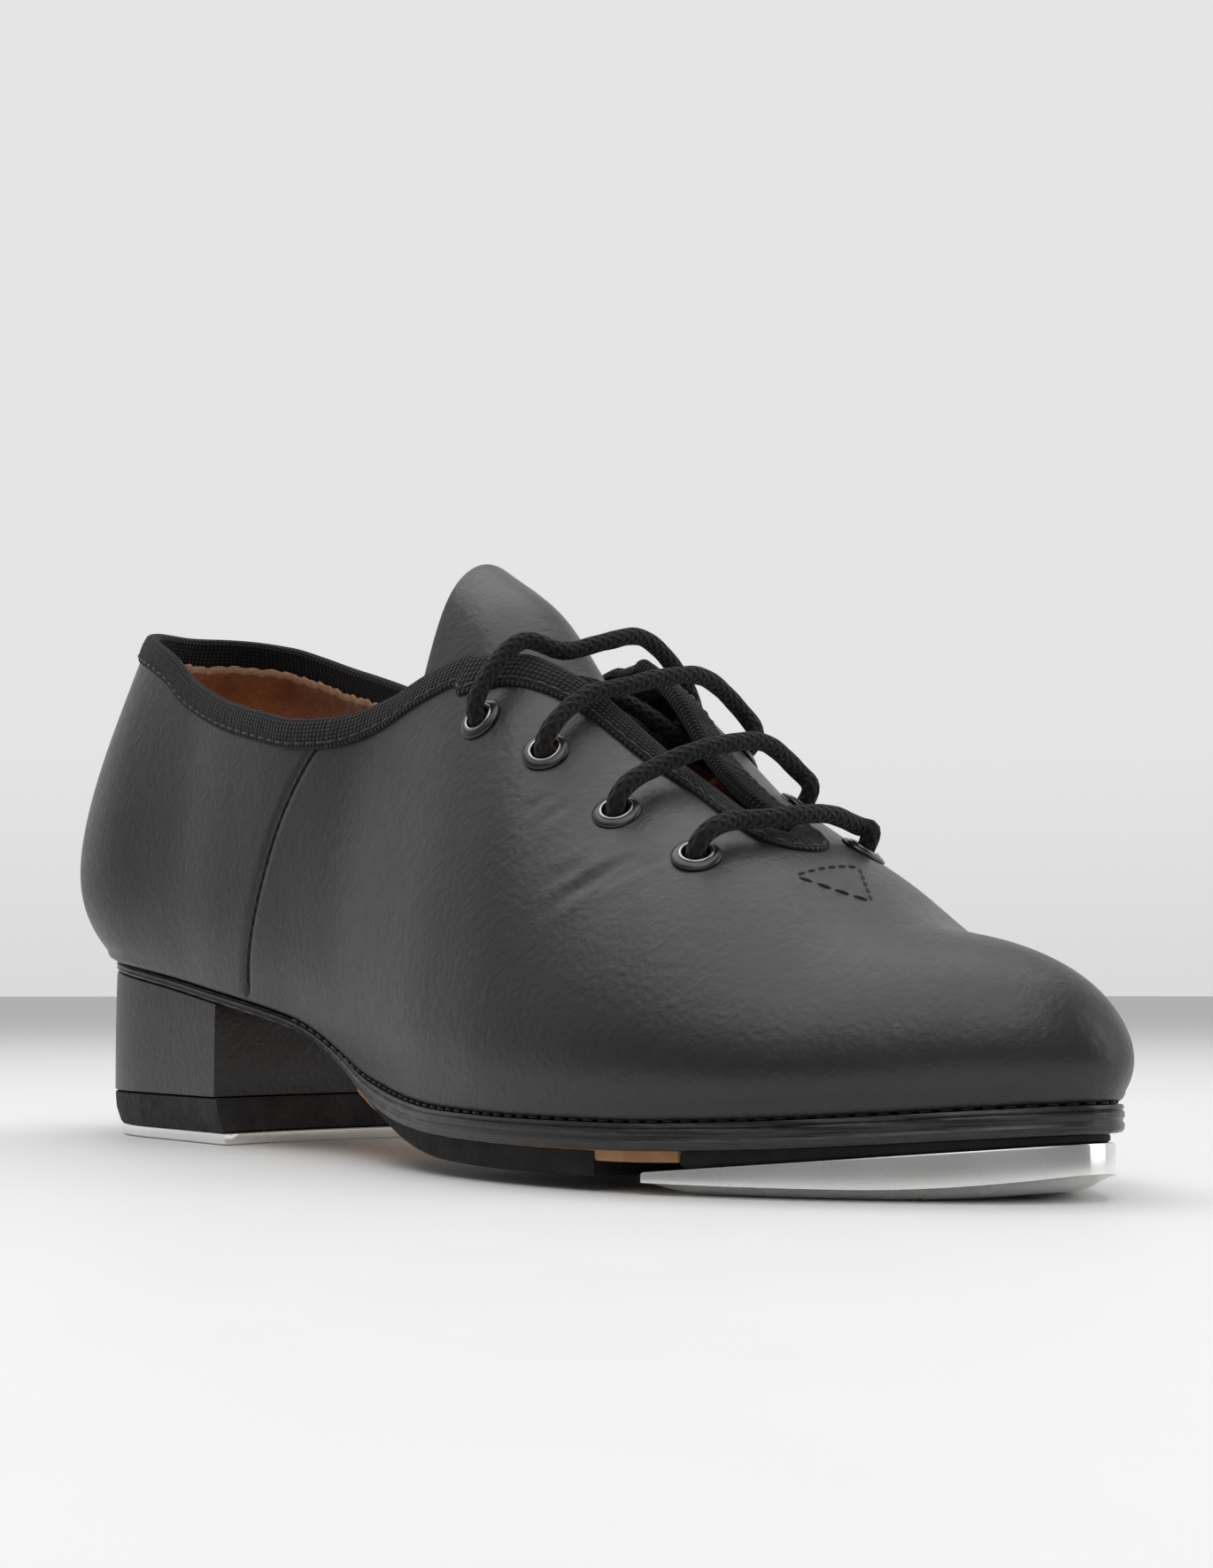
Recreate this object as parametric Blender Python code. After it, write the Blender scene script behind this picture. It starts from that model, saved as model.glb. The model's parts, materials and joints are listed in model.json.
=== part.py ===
"""Tap shoe for the right foot: a leather lace-up oxford with a metal toe tap and heel tap.

All sizes are millimetres. The last (the foot shape that the shoe is built on) lies with its
heel at x = 0 and its toe towards +X. The finished parts are in metres, +Z up, with the origin
at the middle of the heel tap's ground face. The lateral side of the foot is towards -Y.
"""
import math

import bmesh
import bpy
import numpy as np
from mathutils import Vector

# ---- last: overall sizes -------------------------------------------------------------------
LAST_LENGTH = 264.5        # feather line, heel to toe
BALL_WIDTH = 82.0          # feather line, across the ball
SEAT_RISE = 28.3           # back of the heel seat above the tread
TOE_SPRING = 3.5           # toe tip above the tread
INSTEP_HEIGHT = 56.6       # crest over the ball-side of the throat, above the tread
BACK_HEIGHT = 71.0         # binding's top edge at the heel, above the back of the seat

# ---- last: shape, as shares of length and width -------------------------------------------
LATERAL_OUTLINE = ((.045, -.274), (.170, -.348), (.302, -.354), (.435, -.354),
                   (.567, -.457), (.699, -.506), (.832, -.421), (.945, -.183))
MEDIAL_OUTLINE = ((.045, .250), (.170, .341), (.302, .329), (.435, .274),
                  (.567, .360), (.718, .494), (.851, .439), (.945, .268))
TOE_POINT = (1.0, .073)
HEEL_POINT = (.0, -.012)
ARCH = ((0, 1), (.113, .880), (.234, .717), (.359, .519), (.491, .134), (.624, .011), (.718, 0),
        (1, 0))
SPRING = ((0, 0), (.78, 0), (.85, .17), (1, 1))
CREST = ((0, 2.24), (.151, 2.26), (.340, 2.28), (.435, 1.88), (.529, 1.63), (.624, 1.315),
         (.699, 1.0), (.794, .758), (.888, .588), (.991, .68))
SPINE_BACK = .113
SPINE_FRONT = .673
SPINE_SOFTNESS = 18.0
SPINE_SHIFT = -2.0
TOE_ROUNDNESS, HEEL_ROUNDNESS = 3.4, 2.1
SIDE_ROUNDNESS = (2.2, 2.5)      # lateral, medial
INSTEP_ROUNDNESS = (1.9, 2.3)    # lateral, medial
TOE_BULGE, HEEL_BULGE = 4.2, 9.0
SIDE_BULGE = (4.0, 6.5)          # lateral, medial

# ---- layers and clearances ----------------------------------------------------------------
GAP = 0.3                  # between any two touching pieces
LEATHER = 1.3
LINING = 0.8
STIFFENER = 1.0
BINDING = 0.7
BINDING_WIDTH = 4.8
BINDING_EASE = 0.3         # tape's leaves stand off the leather at their lower edges
LASTING_MARGIN = 11.0      # leather turned in under the foot
FEATHER_RADIUS = 2.0       # round edge between the wall and the lasting margin
INSOLE = 1.8
SOCK = 1.2
OUTSOLE = 4.0
SEAT_OUTSOLE = 2.0
SOLE_EDGE = 1.2            # outsole past the feather line, forepart
SEAT_INSET = 0.3           # outsole inside the feather line, heel seat
PAD = 3.9
PAD_INSET = 0.6
TAP_BOARD = 1.5
TOE_TAP = 4.3
UNDER_LEATHER = LEATHER + GAP
UNDER_STIFFENER = UNDER_LEATHER + STIFFENER + GAP
ABOVE_MARGIN = LEATHER + GAP
INSOLE_INSET = UNDER_STIFFENER + LINING + 0.4
SOCK_INSET = INSOLE_INSET + 0.6
SOCK_TOP = ABOVE_MARGIN + INSOLE + GAP + SOCK
LINING_INSET = BINDING_WIDTH + 0.7    # lining's top edge below the opening's edge

# ---- wall grid: rows of the upper, and how far the stiffeners reach in it --------------------
WALL_ROWS = 7
SEAM = ((0, .306), (.28, .330), (.55, .352), (.8, .376), (1, .397))   # side seam's station
SEAM_COLUMNS = 3
FRONT_START, FRONT_MIDDLE = 112.0, 165.0
BACK_START = 74.0
COUNTER_ROWS = 5
PUFF_ROWS = 4
PUFF_START = 226.0

# ---- opening: binding's top edge above the seat, as shares of the back height ---------------
LATERAL_TOPLINE = ((0, 1), (.030, 1.0), (.098, .944), (.144, .880), (.189, .785), (.246, .706),
                   (.306, .650), (.363, .610), (.397, .605), (.454, .638), (.499, .695),
                   (.537, .727), (.567, .735), (.59, .82), (.63, 1.1), (1, 1.6))
MEDIAL_TOPLINE = ((0, 1), (.030, 1.005), (.067, .98), (.093, .945), (.125, .901), (.160, .861),
                  (.195, .820), (.246, .752), (.306, .700), (.363, .662), (.397, .652),
                  (.454, .672), (.499, .710), (.537, .733), (.567, .740), (.59, .82), (.63, 1.1),
                  (1, 1.6))
SLIT_HALF_WIDTH = ((.54, 15.7), (.567, 13.9), (.597, 12.0), (.643, 8.8), (.688, 5.5), (.733, 3.5),
                   (1.0, 2.7))
SLIT_END = 206.0
SLIT_MIDDLE = -0.6
SLIT_LEAN = 1.8            # slit's wide end leans to the lateral side
SLIT_START = 143.0
CORNER_RADIUS = 1.6
EDGE_FOLD = BINDING + GAP + 0.1   # binding's fold past the leather's cut edge

# ---- eyelets and lace -----------------------------------------------------------------------
EYELET_ROWS = (152.5, 170.0, 187.0, 204.5)
LATERAL_EYELETS = (-24.9, -23.8, -21.9, -19.7)
MEDIAL_EYELETS = (20.5, 20.0, 18.5, 16.5)
EYELET_FLANGE = 8.2
EYELET_HOLE = 4.6
EYELET_WALL = 0.4
EYELET_RIM = 0.45
EYELET_GRIP = UNDER_LEATHER + LINING + 0.7    # under the flange to the inner flange
EYELET_SIDES = 10
LACE = 3.2
LACE_OUT = 3.3             # lace centre above the leather where it lies on it
LACE_UNDER = -5.9          # lace centre below the leather's outer face, inside
LACE_EXIT = 1.6            # the lace is straight along the eyelet from LACE_ENTRY to LACE_EXIT
LACE_ENTRY = -4.3
BAR_BOW = 2.5              # bars bow towards the toe
BAR_LEAN = 2.0             # and to the lateral side
BAR_RISE = (16.3, 15.1, 13.1, 7.6)            # each bar's peak above its eyelets
BAR_SHAPE = ((0, 0), (.2, .54), (.4, .80), (.6, .95), (.8, 1.0), (1, .62))
AGLET = 3.9
AGLET_LENGTH = 18.0

# ---- tongue ---------------------------------------------------------------------------------
TONGUE_STATIONS = (122, 124, 128, 134, 144, 156, 168, 181, 194, 207, 216, 222)
TONGUE_HALF_WIDTH = ((122, 23.0), (124, 24.0), (140, 24.0), (152, 19.5), (170, 17.0),
                     (187, 15.5), (204, 13.0), (222, 12.0))
TONGUE_DEPTH = ((121, 1.2), (135, 1.8), (146, 5.2), (156, 8.6), (207, 8.6), (216, 4.4), (222, 3.6))
TONGUE_EDGE_DEPTH = ((121, 4.6), (140, 5.6), (150, 7.6), (156, 8.6), (207, 8.6), (216, 4.4),
                     (222, 3.6))
TONGUE_PIVOT_X = 221.0
TONGUE = 1.2
TONGUE_LINING = 0.7

# ---- heel -----------------------------------------------------------------------------------
HEEL_LENGTH = 68.0
BREAST_SAG = 3.3
HEEL_COVER = 0.8
HEEL_LIFT = 6.4
HEEL_TAP = 2.4
HEEL_TAP_INSET = 2.0
HEEL_TAP_BEVEL = 0.6
HEEL_SCREWS = ((13.0, -1.0), (54.0, -15.0), (54.0, 15.0))
HEEL_NAILS = ((20.0, -11.5), (20.0, 10.0), (52.0, -13.5), (52.0, 13.5))
NAIL = 2.4
NAIL_LENGTH = 15.0

# ---- forepart -------------------------------------------------------------------------------
PAD_REAR, PAD_FRONT = 120.0, 203.0
BOARD_REAR = 218.0
BOARD_INSET = 0.4
TOE_TAP_REAR = 212.0
TOE_TAP_REAR_HEIGHT = 3.4
TOE_TAP_TILT = 0.10
TOE_TAP_INSET = 0.2
TOE_TAP_RIM = 1.8
TOE_TAP_BEVEL = 6.5
TOE_TAP_RISE_FROM, TOE_TAP_RISE = 240.0, 0.0040
TOE_SCREWS = ((222.0, -22.0), (222.0, 24.0), (251.0, 4.0))
SCREW = 3.0
SCREW_HEAD = 6.4
HEAD_DEPTH = 1.6
HEAD_SUNK = 0.25           # screw head's face above the tap's lowest face
SCREW_SIDES = 12
SLOT_WIDTH, SLOT_DEPTH = 0.8, 0.6
TOE_SCREW_LENGTH = 8.5
HEEL_SCREW_LENGTH = 15.0
SHANK_REAR, SHANK_FRONT, SHANK_WIDTH = 28.0, 126.0, 12.0


class MonotoneCurve:
    """Smooth curve through points that never overshoots them."""

    def __init__(self, points):
        self.x, self.y = np.array(points, float).T
        step = np.diff(self.x)
        rise = np.diff(self.y) / step
        self.slope = np.zeros(len(self.x))
        self.slope[0], self.slope[-1] = rise[0], rise[-1]
        for i in range(1, len(rise)):
            if rise[i - 1] * rise[i] > 0:
                a = 2 * step[i] + step[i - 1]
                b = step[i] + 2 * step[i - 1]
                self.slope[i] = (a + b) / (a / rise[i - 1] + b / rise[i])

    def __call__(self, x):
        x = np.clip(x, self.x[0], self.x[-1])
        i = np.clip(np.searchsorted(self.x, x) - 1, 0, len(self.x) - 2)
        h = self.x[i + 1] - self.x[i]
        t = (x - self.x[i]) / h
        return ((1 + 2 * t) * (1 - t) ** 2 * self.y[i] + t * (1 - t) ** 2 * h * self.slope[i]
                + t * t * (3 - 2 * t) * self.y[i + 1] + t * t * (t - 1) * h * self.slope[i + 1])


class ClosedCurve:
    """Closed cubic spline through points; u runs from 0 to 1 once round."""

    def __init__(self, points):
        p = np.array(points, float)
        n = len(p)
        d = np.linalg.norm(np.roll(p, -1, 0) - p, axis=1)
        a = np.zeros((n, n))
        b = np.zeros_like(p)
        for i in range(n):
            before, after = d[i - 1], d[i]
            a[i, i - 1] += before
            a[i, i] += 2 * (before + after)
            a[i, (i + 1) % n] += after
            b[i] = 6 * ((p[(i + 1) % n] - p[i]) / after - (p[i] - p[i - 1]) / before)
        self.p, self.d, self.bend = p, d, np.linalg.solve(a, b)
        self.knots = np.concatenate([[0], np.cumsum(d)])

    def __call__(self, u):
        s = np.mod(u, 1.0) * self.knots[-1]
        k = np.clip(np.searchsorted(self.knots, s, side="right") - 1, 0, len(self.p) - 1)
        j = (k + 1) % len(self.p)
        h = self.d[k][..., None]
        b = (s[..., None] - self.knots[k][..., None]) / h
        a = 1 - b
        return (a * self.p[k] + b * self.p[j]
                + ((a ** 3 - a) * self.bend[k] + (b ** 3 - b) * self.bend[j]) * h * h / 6)


def smoothstep(edge0, edge1, x):
    t = np.clip((x - edge0) / (edge1 - edge0), 0, 1)
    return t * t * (3 - 2 * t)


# ---- the last -------------------------------------------------------------------------------
def scaled(points):
    return [(x * LAST_LENGTH, y * BALL_WIDTH) for x, y in points]


TREAD = TOE_TAP + TAP_BOARD + OUTSOLE + 3 * GAP
OUTLINE = ClosedCurve(scaled((HEEL_POINT,) + LATERAL_OUTLINE + (TOE_POINT,) + MEDIAL_OUTLINE[::-1]))
arch_curve = MonotoneCurve(ARCH)
spring_curve = MonotoneCurve(SPRING)
crest_curve = MonotoneCurve(CREST)
lateral_curve = MonotoneCurve(LATERAL_TOPLINE)
medial_curve = MonotoneCurve(MEDIAL_TOPLINE)
slit_curve = MonotoneCurve(SLIT_HALF_WIDTH)
seam_curve = MonotoneCurve(SEAM)
bar_curve = MonotoneCurve(BAR_SHAPE)
tongue_width = MonotoneCurve(TONGUE_HALF_WIDTH)
tongue_depth = MonotoneCurve(TONGUE_DEPTH)
tongue_edge_depth = MonotoneCurve(TONGUE_EDGE_DEPTH)


def feather_z(x):
    f = x / LAST_LENGTH
    return TREAD + SEAT_RISE * arch_curve(f) + TOE_SPRING * spring_curve(f)


def crest_z(x):
    return TREAD + INSTEP_HEIGHT * crest_curve(x / LAST_LENGTH)


def outline_normal(u):
    step = 1e-4
    t = OUTLINE(u + step) - OUTLINE(u - step)
    n = np.stack([t[..., 1], -t[..., 0]], -1)
    return n / np.linalg.norm(n, axis=-1, keepdims=True)


def last_point(u, phi):
    """Point of the outer surface: u goes round the feather line, phi from it up to the crest."""
    u, phi = np.broadcast_arrays(np.asarray(u, float), np.asarray(phi, float))
    o = OUTLINE(u)
    x = o[..., 0]
    lo, hi, k = SPINE_BACK * LAST_LENGTH, SPINE_FRONT * LAST_LENGTH, SPINE_SOFTNESS
    spine_x = lo + k * np.log1p(np.exp((x - lo) / k)) - k * np.log1p(np.exp((x - hi) / k))
    spine = np.stack([spine_x, SPINE_SHIFT * np.clip((spine_x - lo) / (hi - lo), 0, 1)], -1)
    f = x / LAST_LENGTH
    toe = smoothstep(.718, .945, f)
    heel = 1 - smoothstep(.038, .227, f)
    instep = np.exp(-((f - .454) / .151) ** 2) * (1 - toe) * (1 - heel)
    medial = smoothstep(-8, 8, o[..., 1])
    side_n = SIDE_ROUNDNESS[0] * (1 - medial) + SIDE_ROUNDNESS[1] * medial
    instep_n = INSTEP_ROUNDNESS[0] * (1 - medial) + INSTEP_ROUNDNESS[1] * medial
    side_bulge = SIDE_BULGE[0] * (1 - medial) + SIDE_BULGE[1] * medial
    n = side_n * (1 - toe - heel) + TOE_ROUNDNESS * toe + HEEL_ROUNDNESS * heel
    n = n + (instep_n - side_n) * instep
    bulge = side_bulge * (1 - toe - heel) + TOE_BULGE * toe + HEEL_BULGE * heel
    r = np.clip(np.cos(phi), 0, 1) ** (2 / n)
    h = np.sin(phi)
    low = .25 + .1 * toe
    swell = (h / low) * np.exp(1 - h / low) * (1 - h * h)
    xy = spine + (o - spine) * r[..., None] + outline_normal(u) * (bulge * swell)[..., None]
    base = feather_z(x)
    z = base + (crest_z(xy[..., 0]) - base) * h
    return np.concatenate([xy, z[..., None]], -1)


def last_normal(u, phi):
    u, phi = np.broadcast_arrays(np.asarray(u, float), np.asarray(phi, float))
    phi = np.clip(phi, 2e-3, math.pi / 2 - 2e-3)
    du = last_point(u + 1e-4, phi) - last_point(u - 1e-4, phi)
    dphi = last_point(u, phi + 1e-3) - last_point(u, phi - 1e-3)
    n = np.cross(du, dphi)
    return n / np.linalg.norm(n, axis=-1, keepdims=True)


SAMPLE_FLOOR = 40.0        # only surface above this height is looked up by plan position
SAMPLE_U, SAMPLE_PHI = np.meshgrid(np.linspace(0, 1, 480, endpoint=False),
                                   np.linspace(.05, 1.56, 120))
SAMPLES = last_point(SAMPLE_U, SAMPLE_PHI)


def surface_at(x, y):
    """Surface parameters over the plan point (x, y), on the upper half of the last."""
    low = SAMPLES[..., 2] < SAMPLE_FLOOR
    away = np.hypot(SAMPLES[..., 0] - x, SAMPLES[..., 1] - y) + 1e3 * low
    i = np.unravel_index(away.argmin(), away.shape)
    u, phi = SAMPLE_U[i], SAMPLE_PHI[i]
    for _ in range(6):
        p = last_point(u, phi)[:2]
        ju = (last_point(u + 1e-4, phi)[:2] - p) / 1e-4
        jp = (last_point(u, phi + 1e-4)[:2] - p) / 1e-4
        det = ju[0] * jp[1] - ju[1] * jp[0]
        if abs(det) < 1e-6:
            break
        ex, ey = x - p[0], y - p[1]
        u += np.clip((ex * jp[1] - ey * jp[0]) / det, -.01, .01)
        phi = min(max(phi + np.clip((ey * ju[0] - ex * ju[1]) / det, -.1, .1), .05), 1.565)
    return u, phi


def over(x, y, lift):
    """Point a given height above (or below) the outer surface, over the plan point (x, y)."""
    u, phi = surface_at(x, y)
    return last_point(u, phi) + last_normal(u, phi) * lift


def normal_over(x, y):
    """Outward normal of the outer surface over the plan point (x, y)."""
    u, phi = surface_at(x, y)
    return last_normal(u, phi)


# ---- the opening ----------------------------------------------------------------------------
def slit_middle(x):
    return SLIT_MIDDLE - SLIT_LEAN * smoothstep(SLIT_END, SLIT_START, x)


def opening_depth(p):
    """How far a surface point is inside the foot opening or the lacing slit; negative outside."""
    x, y, z = p[..., 0], p[..., 1], p[..., 2]
    f = x / LAST_LENGTH
    medial = smoothstep(-6, 6, y)
    share = (1 - medial) * lateral_curve(f) + medial * medial_curve(f)
    over_top = z - (TREAD + SEAT_RISE + BACK_HEIGHT * share - EDGE_FOLD)
    width = slit_curve(f)
    past_end = np.maximum(x - SLIT_END + width, 0)
    in_slit = width - np.hypot(y - slit_middle(x), past_end)
    in_slit = in_slit - 60 * smoothstep(SLIT_START, SLIT_START - 10, x)
    corner = np.abs(over_top - in_slit) / CORNER_RADIUS
    return np.maximum(over_top, in_slit) + CORNER_RADIUS * np.log1p(np.exp(-corner))


def edge_phi(u, inset):
    """phi where each rib comes within inset of the opening's edge."""
    u = np.asarray(u, float)
    trial = np.linspace(.15, math.pi / 2 - .003, 160)
    depth = opening_depth(last_point(u[:, None], trial[None, :])) + inset
    first = np.argmax(depth > 0, axis=1)
    lo, hi = trial[np.maximum(first - 1, 0)], trial[first]
    for _ in range(14):
        mid = (lo + hi) / 2
        inside = opening_depth(last_point(u, mid)) + inset > 0
        hi = np.where(inside, mid, hi)
        lo = np.where(inside, lo, mid)
    return (lo + hi) / 2


# ---- outlines in plan -----------------------------------------------------------------------
DENSE_U = np.linspace(0, 1, 1440, endpoint=False)
DENSE_OUTLINE = OUTLINE(DENSE_U)
DENSE_NORMAL = outline_normal(DENSE_U)
TOE_INDEX = int(DENSE_OUTLINE[:, 0].argmax())
TOE_U = float(DENSE_U[TOE_INDEX])
STATIONS = np.arange(8.0, LAST_LENGTH, 8.0)


def branch(side, inset):
    """Feather line, moved in by inset, from the heel to the toe along one side (-1 lateral)."""
    step = inset(DENSE_OUTLINE[:, 0])[:, None] if callable(inset) else inset
    ring = DENSE_OUTLINE - DENSE_NORMAL * step
    heel = int(ring[:, 0].argmin())
    toe = (int(ring[:, 0].argmax()) - heel) % len(ring)
    ring = np.roll(ring, -heel, 0)
    return ring[:toe + 1] if side < 0 else np.vstack([ring[toe:], ring[:1]])[::-1]


def both_sides(x, inset):
    """Closed outline through stations x: the lateral side forward, the medial side back."""
    sides = []
    for side in (-1, 1):
        line = branch(side, inset)
        sides.append(np.stack([x, np.interp(x, line[:, 0], line[:, 1])], -1))
    return np.vstack([sides[0], sides[1][::-1]])


def ends_of(inset, rear, front):
    line = branch(-1, inset)
    return max(rear, line[0, 0] + .15), min(front, line[-1, 0] - .15)


def layer_outline(inset, rear=-1e3, front=1e3):
    """Outline whose points share one set of stations, so that stacked layers lie flush."""
    rear, front = ends_of(inset, rear, front)
    end = np.array([0.0, 1.0, 3.0, 6.0])
    middle = STATIONS[(STATIONS > rear + 8) & (STATIONS < front - 8)]
    return both_sides(np.concatenate([rear + end, middle, front - end[::-1]]), inset)


def toe_outline(inset, rear, count):
    """Outline of the toe region, its points closer together towards the tip."""
    rear, front = ends_of(inset, rear, 1e3)
    return both_sides(rear + (front - rear) * np.sin(np.linspace(0, math.pi / 2, count)), inset)


def heel_side(side, inset, breast_x, count):
    line = branch(side, inset)
    line = np.vstack([line[line[:, 0] < breast_x],
                      [breast_x, np.interp(breast_x, line[:, 0], line[:, 1])]])
    s = np.concatenate([[0], np.cumsum(np.linalg.norm(np.diff(line, axis=0), axis=1))])
    t = np.linspace(0, s[-1], count)
    return np.stack([np.interp(t, s, line[:, 0]), np.interp(t, s, line[:, 1])], -1)


def heel_outline(inset, breast_x, count=18, breast=6):
    """Closed D-shaped outline of the heel: back, lateral side, curved breast, medial side."""
    lateral = heel_side(-1, inset, breast_x, count)
    medial = heel_side(1, inset, breast_x, count)[::-1]
    s = np.linspace(0, 1, breast + 2)[1:-1, None]
    front = lateral[-1] * (1 - s) + medial[0] * s
    front[:, 0] -= 4 * BREAST_SAG * (s * (1 - s))[:, 0]
    return np.vstack([lateral, front, medial[:-1]])


def shrink(outline, amount):
    """Outline moved in by amount."""
    t = np.roll(outline, -1, 0) - np.roll(outline, 1, 0)
    n = np.stack([t[:, 1], -t[:, 0]], -1)
    n /= np.linalg.norm(n, axis=1, keepdims=True)
    after = np.roll(outline, -1, 0)
    area = np.sum(outline[:, 0] * after[:, 1] - after[:, 0] * outline[:, 1])
    return outline - n * amount * math.copysign(1, area)


def at_height(outline, z):
    return np.column_stack([outline, np.broadcast_to(z, len(outline))])


HEEL_FACE = heel_outline(HEEL_TAP_INSET + HEEL_TAP_BEVEL, HEEL_LENGTH)
ORIGIN = np.array([(HEEL_FACE[:, 0].min() + HEEL_FACE[:, 0].max()) / 2,
                   (HEEL_FACE[:, 1].min() + HEEL_FACE[:, 1].max()) / 2, 0.0])


# ---- mesh helpers ---------------------------------------------------------------------------
def new_object(name, points, faces, material, pivot=None):
    """Mesh object from millimetre points; its own origin is at pivot."""
    origin = ORIGIN if pivot is None else np.array(pivot, float)
    mesh = bpy.data.meshes.new(name)
    mesh.from_pydata([Vector((p - origin) * 0.001) for p in points], [], faces)
    bm = bmesh.new()
    bm.from_mesh(mesh)
    bmesh.ops.triangulate(bm, faces=[f for f in bm.faces if len(f.verts) > 4])
    bmesh.ops.recalc_face_normals(bm, faces=bm.faces)
    bm.to_mesh(mesh)
    bm.free()
    mesh.shade_smooth()
    mesh.set_sharp_from_angle(angle=math.radians(35))
    mesh.materials.append(material)
    obj = bpy.data.objects.new(name, mesh)
    obj.location = Vector((origin - ORIGIN) * 0.001)
    bpy.context.collection.objects.link(obj)
    return obj


def ring_faces(count, n):
    return [(r * n + i, r * n + (i + 1) % n, (r + 1) * n + (i + 1) % n, (r + 1) * n + i)
            for r in range(count - 1) for i in range(n)]


def strip_cap(first, n):
    """Faces across a closed outline of n points, pairing its two sides."""
    faces = []
    for i in range(n // 2):
        quad = (first + i, first + i + 1, first + n - 2 - i, first + n - 1 - i)
        corners = list(dict.fromkeys(quad))
        if len(corners) > 2:
            faces.append(corners)
    return faces


def layered_solid(name, rings, material, pivot=None):
    """Solid through closed rings of equal length, capped with strips from side to side."""
    n, last = len(rings[0]), (len(rings) - 1) * len(rings[0])
    faces = ring_faces(len(rings), n) + strip_cap(0, n) + strip_cap(last, n)
    return new_object(name, np.vstack(rings), faces, material, pivot)


def round_solid(name, rings, material, pivot=None):
    """Solid through circular rings, capped with flat discs."""
    n, last = len(rings[0]), (len(rings) - 1) * len(rings[0])
    faces = ring_faces(len(rings), n) + [tuple(range(n)), tuple(range(last, last + n))]
    return new_object(name, np.vstack(rings), faces, material, pivot)


def loop_solid(name, rings, material, pivot=None):
    """Ring-shaped solid: the last ring joins the first."""
    n, last = len(rings[0]), (len(rings) - 1) * len(rings[0])
    faces = ring_faces(len(rings), n)
    faces += [(last + i, last + (i + 1) % n, (i + 1) % n, i) for i in range(n)]
    return new_object(name, np.vstack(rings), faces, material, pivot)


def sheet_solid(name, outer, inner, material, pivot=None):
    """Closed solid between two grids of equal shape (rows, columns, 3)."""
    rows, cols, _ = outer.shape

    def at(r, c, side):
        return (side * rows + r) * cols + c

    faces = []
    for r in range(rows - 1):
        for c in range(cols - 1):
            for side in (0, 1):
                a, b = at(r, c, side), at(r + 1, c + 1, side)
                faces += [(a, at(r, c + 1, side), b), (a, b, at(r + 1, c, side))]
        for c in (0, cols - 1):
            faces.append((at(r, c, 0), at(r + 1, c, 0), at(r + 1, c, 1), at(r, c, 1)))
    for c in range(cols - 1):
        for r in (0, rows - 1):
            faces.append((at(r, c, 0), at(r, c, 1), at(r, c + 1, 1), at(r, c + 1, 0)))
    points = np.vstack([outer.reshape(-1, 3), inner.reshape(-1, 3)])
    return new_object(name, points, faces, material, pivot)


def turned(profile, segments, centre, axis):
    """Circular rings for a (radius, height) profile turned about an axis through centre."""
    axis = np.array(axis, float) / np.linalg.norm(axis)
    side = np.cross(axis, [1, 0, 0]) if abs(axis[0]) < .9 else np.cross(axis, [0, 1, 0])
    side /= np.linalg.norm(side)
    other = np.cross(axis, side)
    angle = np.arange(segments) * 2 * math.pi / segments
    spoke = np.cos(angle)[:, None] * side + np.sin(angle)[:, None] * other
    return [np.array(centre) + r * spoke + h * axis for r, h in profile]


def cut_away(target, cutter):
    cutter.hide_render = True
    cutter.display_type = "WIRE"
    cut = target.modifiers.new(cutter.name, "BOOLEAN")
    cut.operation = "DIFFERENCE"
    cut.solver = "EXACT"
    cut.object = cutter


def drill(target, name, holes, segments=12):
    """Cut straight holes in target; each hole is (centre, axis, radius and height profile)."""
    points, faces = [], []
    for number, (centre, axis, profile) in enumerate(holes):
        rings = turned(profile, segments, centre, axis)
        base = number * len(profile) * segments
        last = base + (len(profile) - 1) * segments
        points.append(np.vstack(rings))
        faces += [tuple(base + i for i in f) for f in ring_faces(len(rings), segments)]
        faces += [tuple(range(base, base + segments)), tuple(range(last, last + segments))]
    cut_away(target, new_object(name, np.vstack(points), faces, target.data.materials[0]))


def straight_hole(radius, low, high):
    return (radius, low), (radius, high)


def make_material(name, colour, roughness, metallic=0.0):
    material = bpy.data.materials.new(name)
    material.use_nodes = True
    shader = material.node_tree.nodes["Principled BSDF"]
    shader.inputs["Base Color"].default_value = (*colour, 1)
    shader.inputs["Roughness"].default_value = roughness
    shader.inputs["Metallic"].default_value = metallic
    material.diffuse_color = (*colour, 1)
    return material


for old in list(bpy.data.objects):
    bpy.data.objects.remove(old, do_unlink=True)

BLACK_LEATHER = make_material("black leather", (.042, .042, .043), .48)
BLACK_KNIT = make_material("black knit tape", (.014, .015, .017), .9)
TAN_SUEDE = make_material("tan suede", (.32, .12, .045), .95)
FIBREBOARD = make_material("fibreboard", (.30, .20, .12), .9)
STIFF_FELT = make_material("stiffener", (.55, .52, .46), .9)
STEEL = make_material("spring steel", (.45, .45, .46), .35, 1.0)
SOLE_BLACK = make_material("black sole", (.012, .012, .013), .5)
RUBBER = make_material("black rubber", (.010, .010, .011), .75)
HEEL_BLACK = make_material("black heel cover", (.008, .008, .009), .35)
ALUMINIUM = make_material("polished aluminium", (.80, .80, .79), .22, 1.0)
SILVER = make_material("nickel", (.70, .70, .68), .25, 1.0)
LACE_BLACK = make_material("black braid", (.009, .009, .010), .9)


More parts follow.
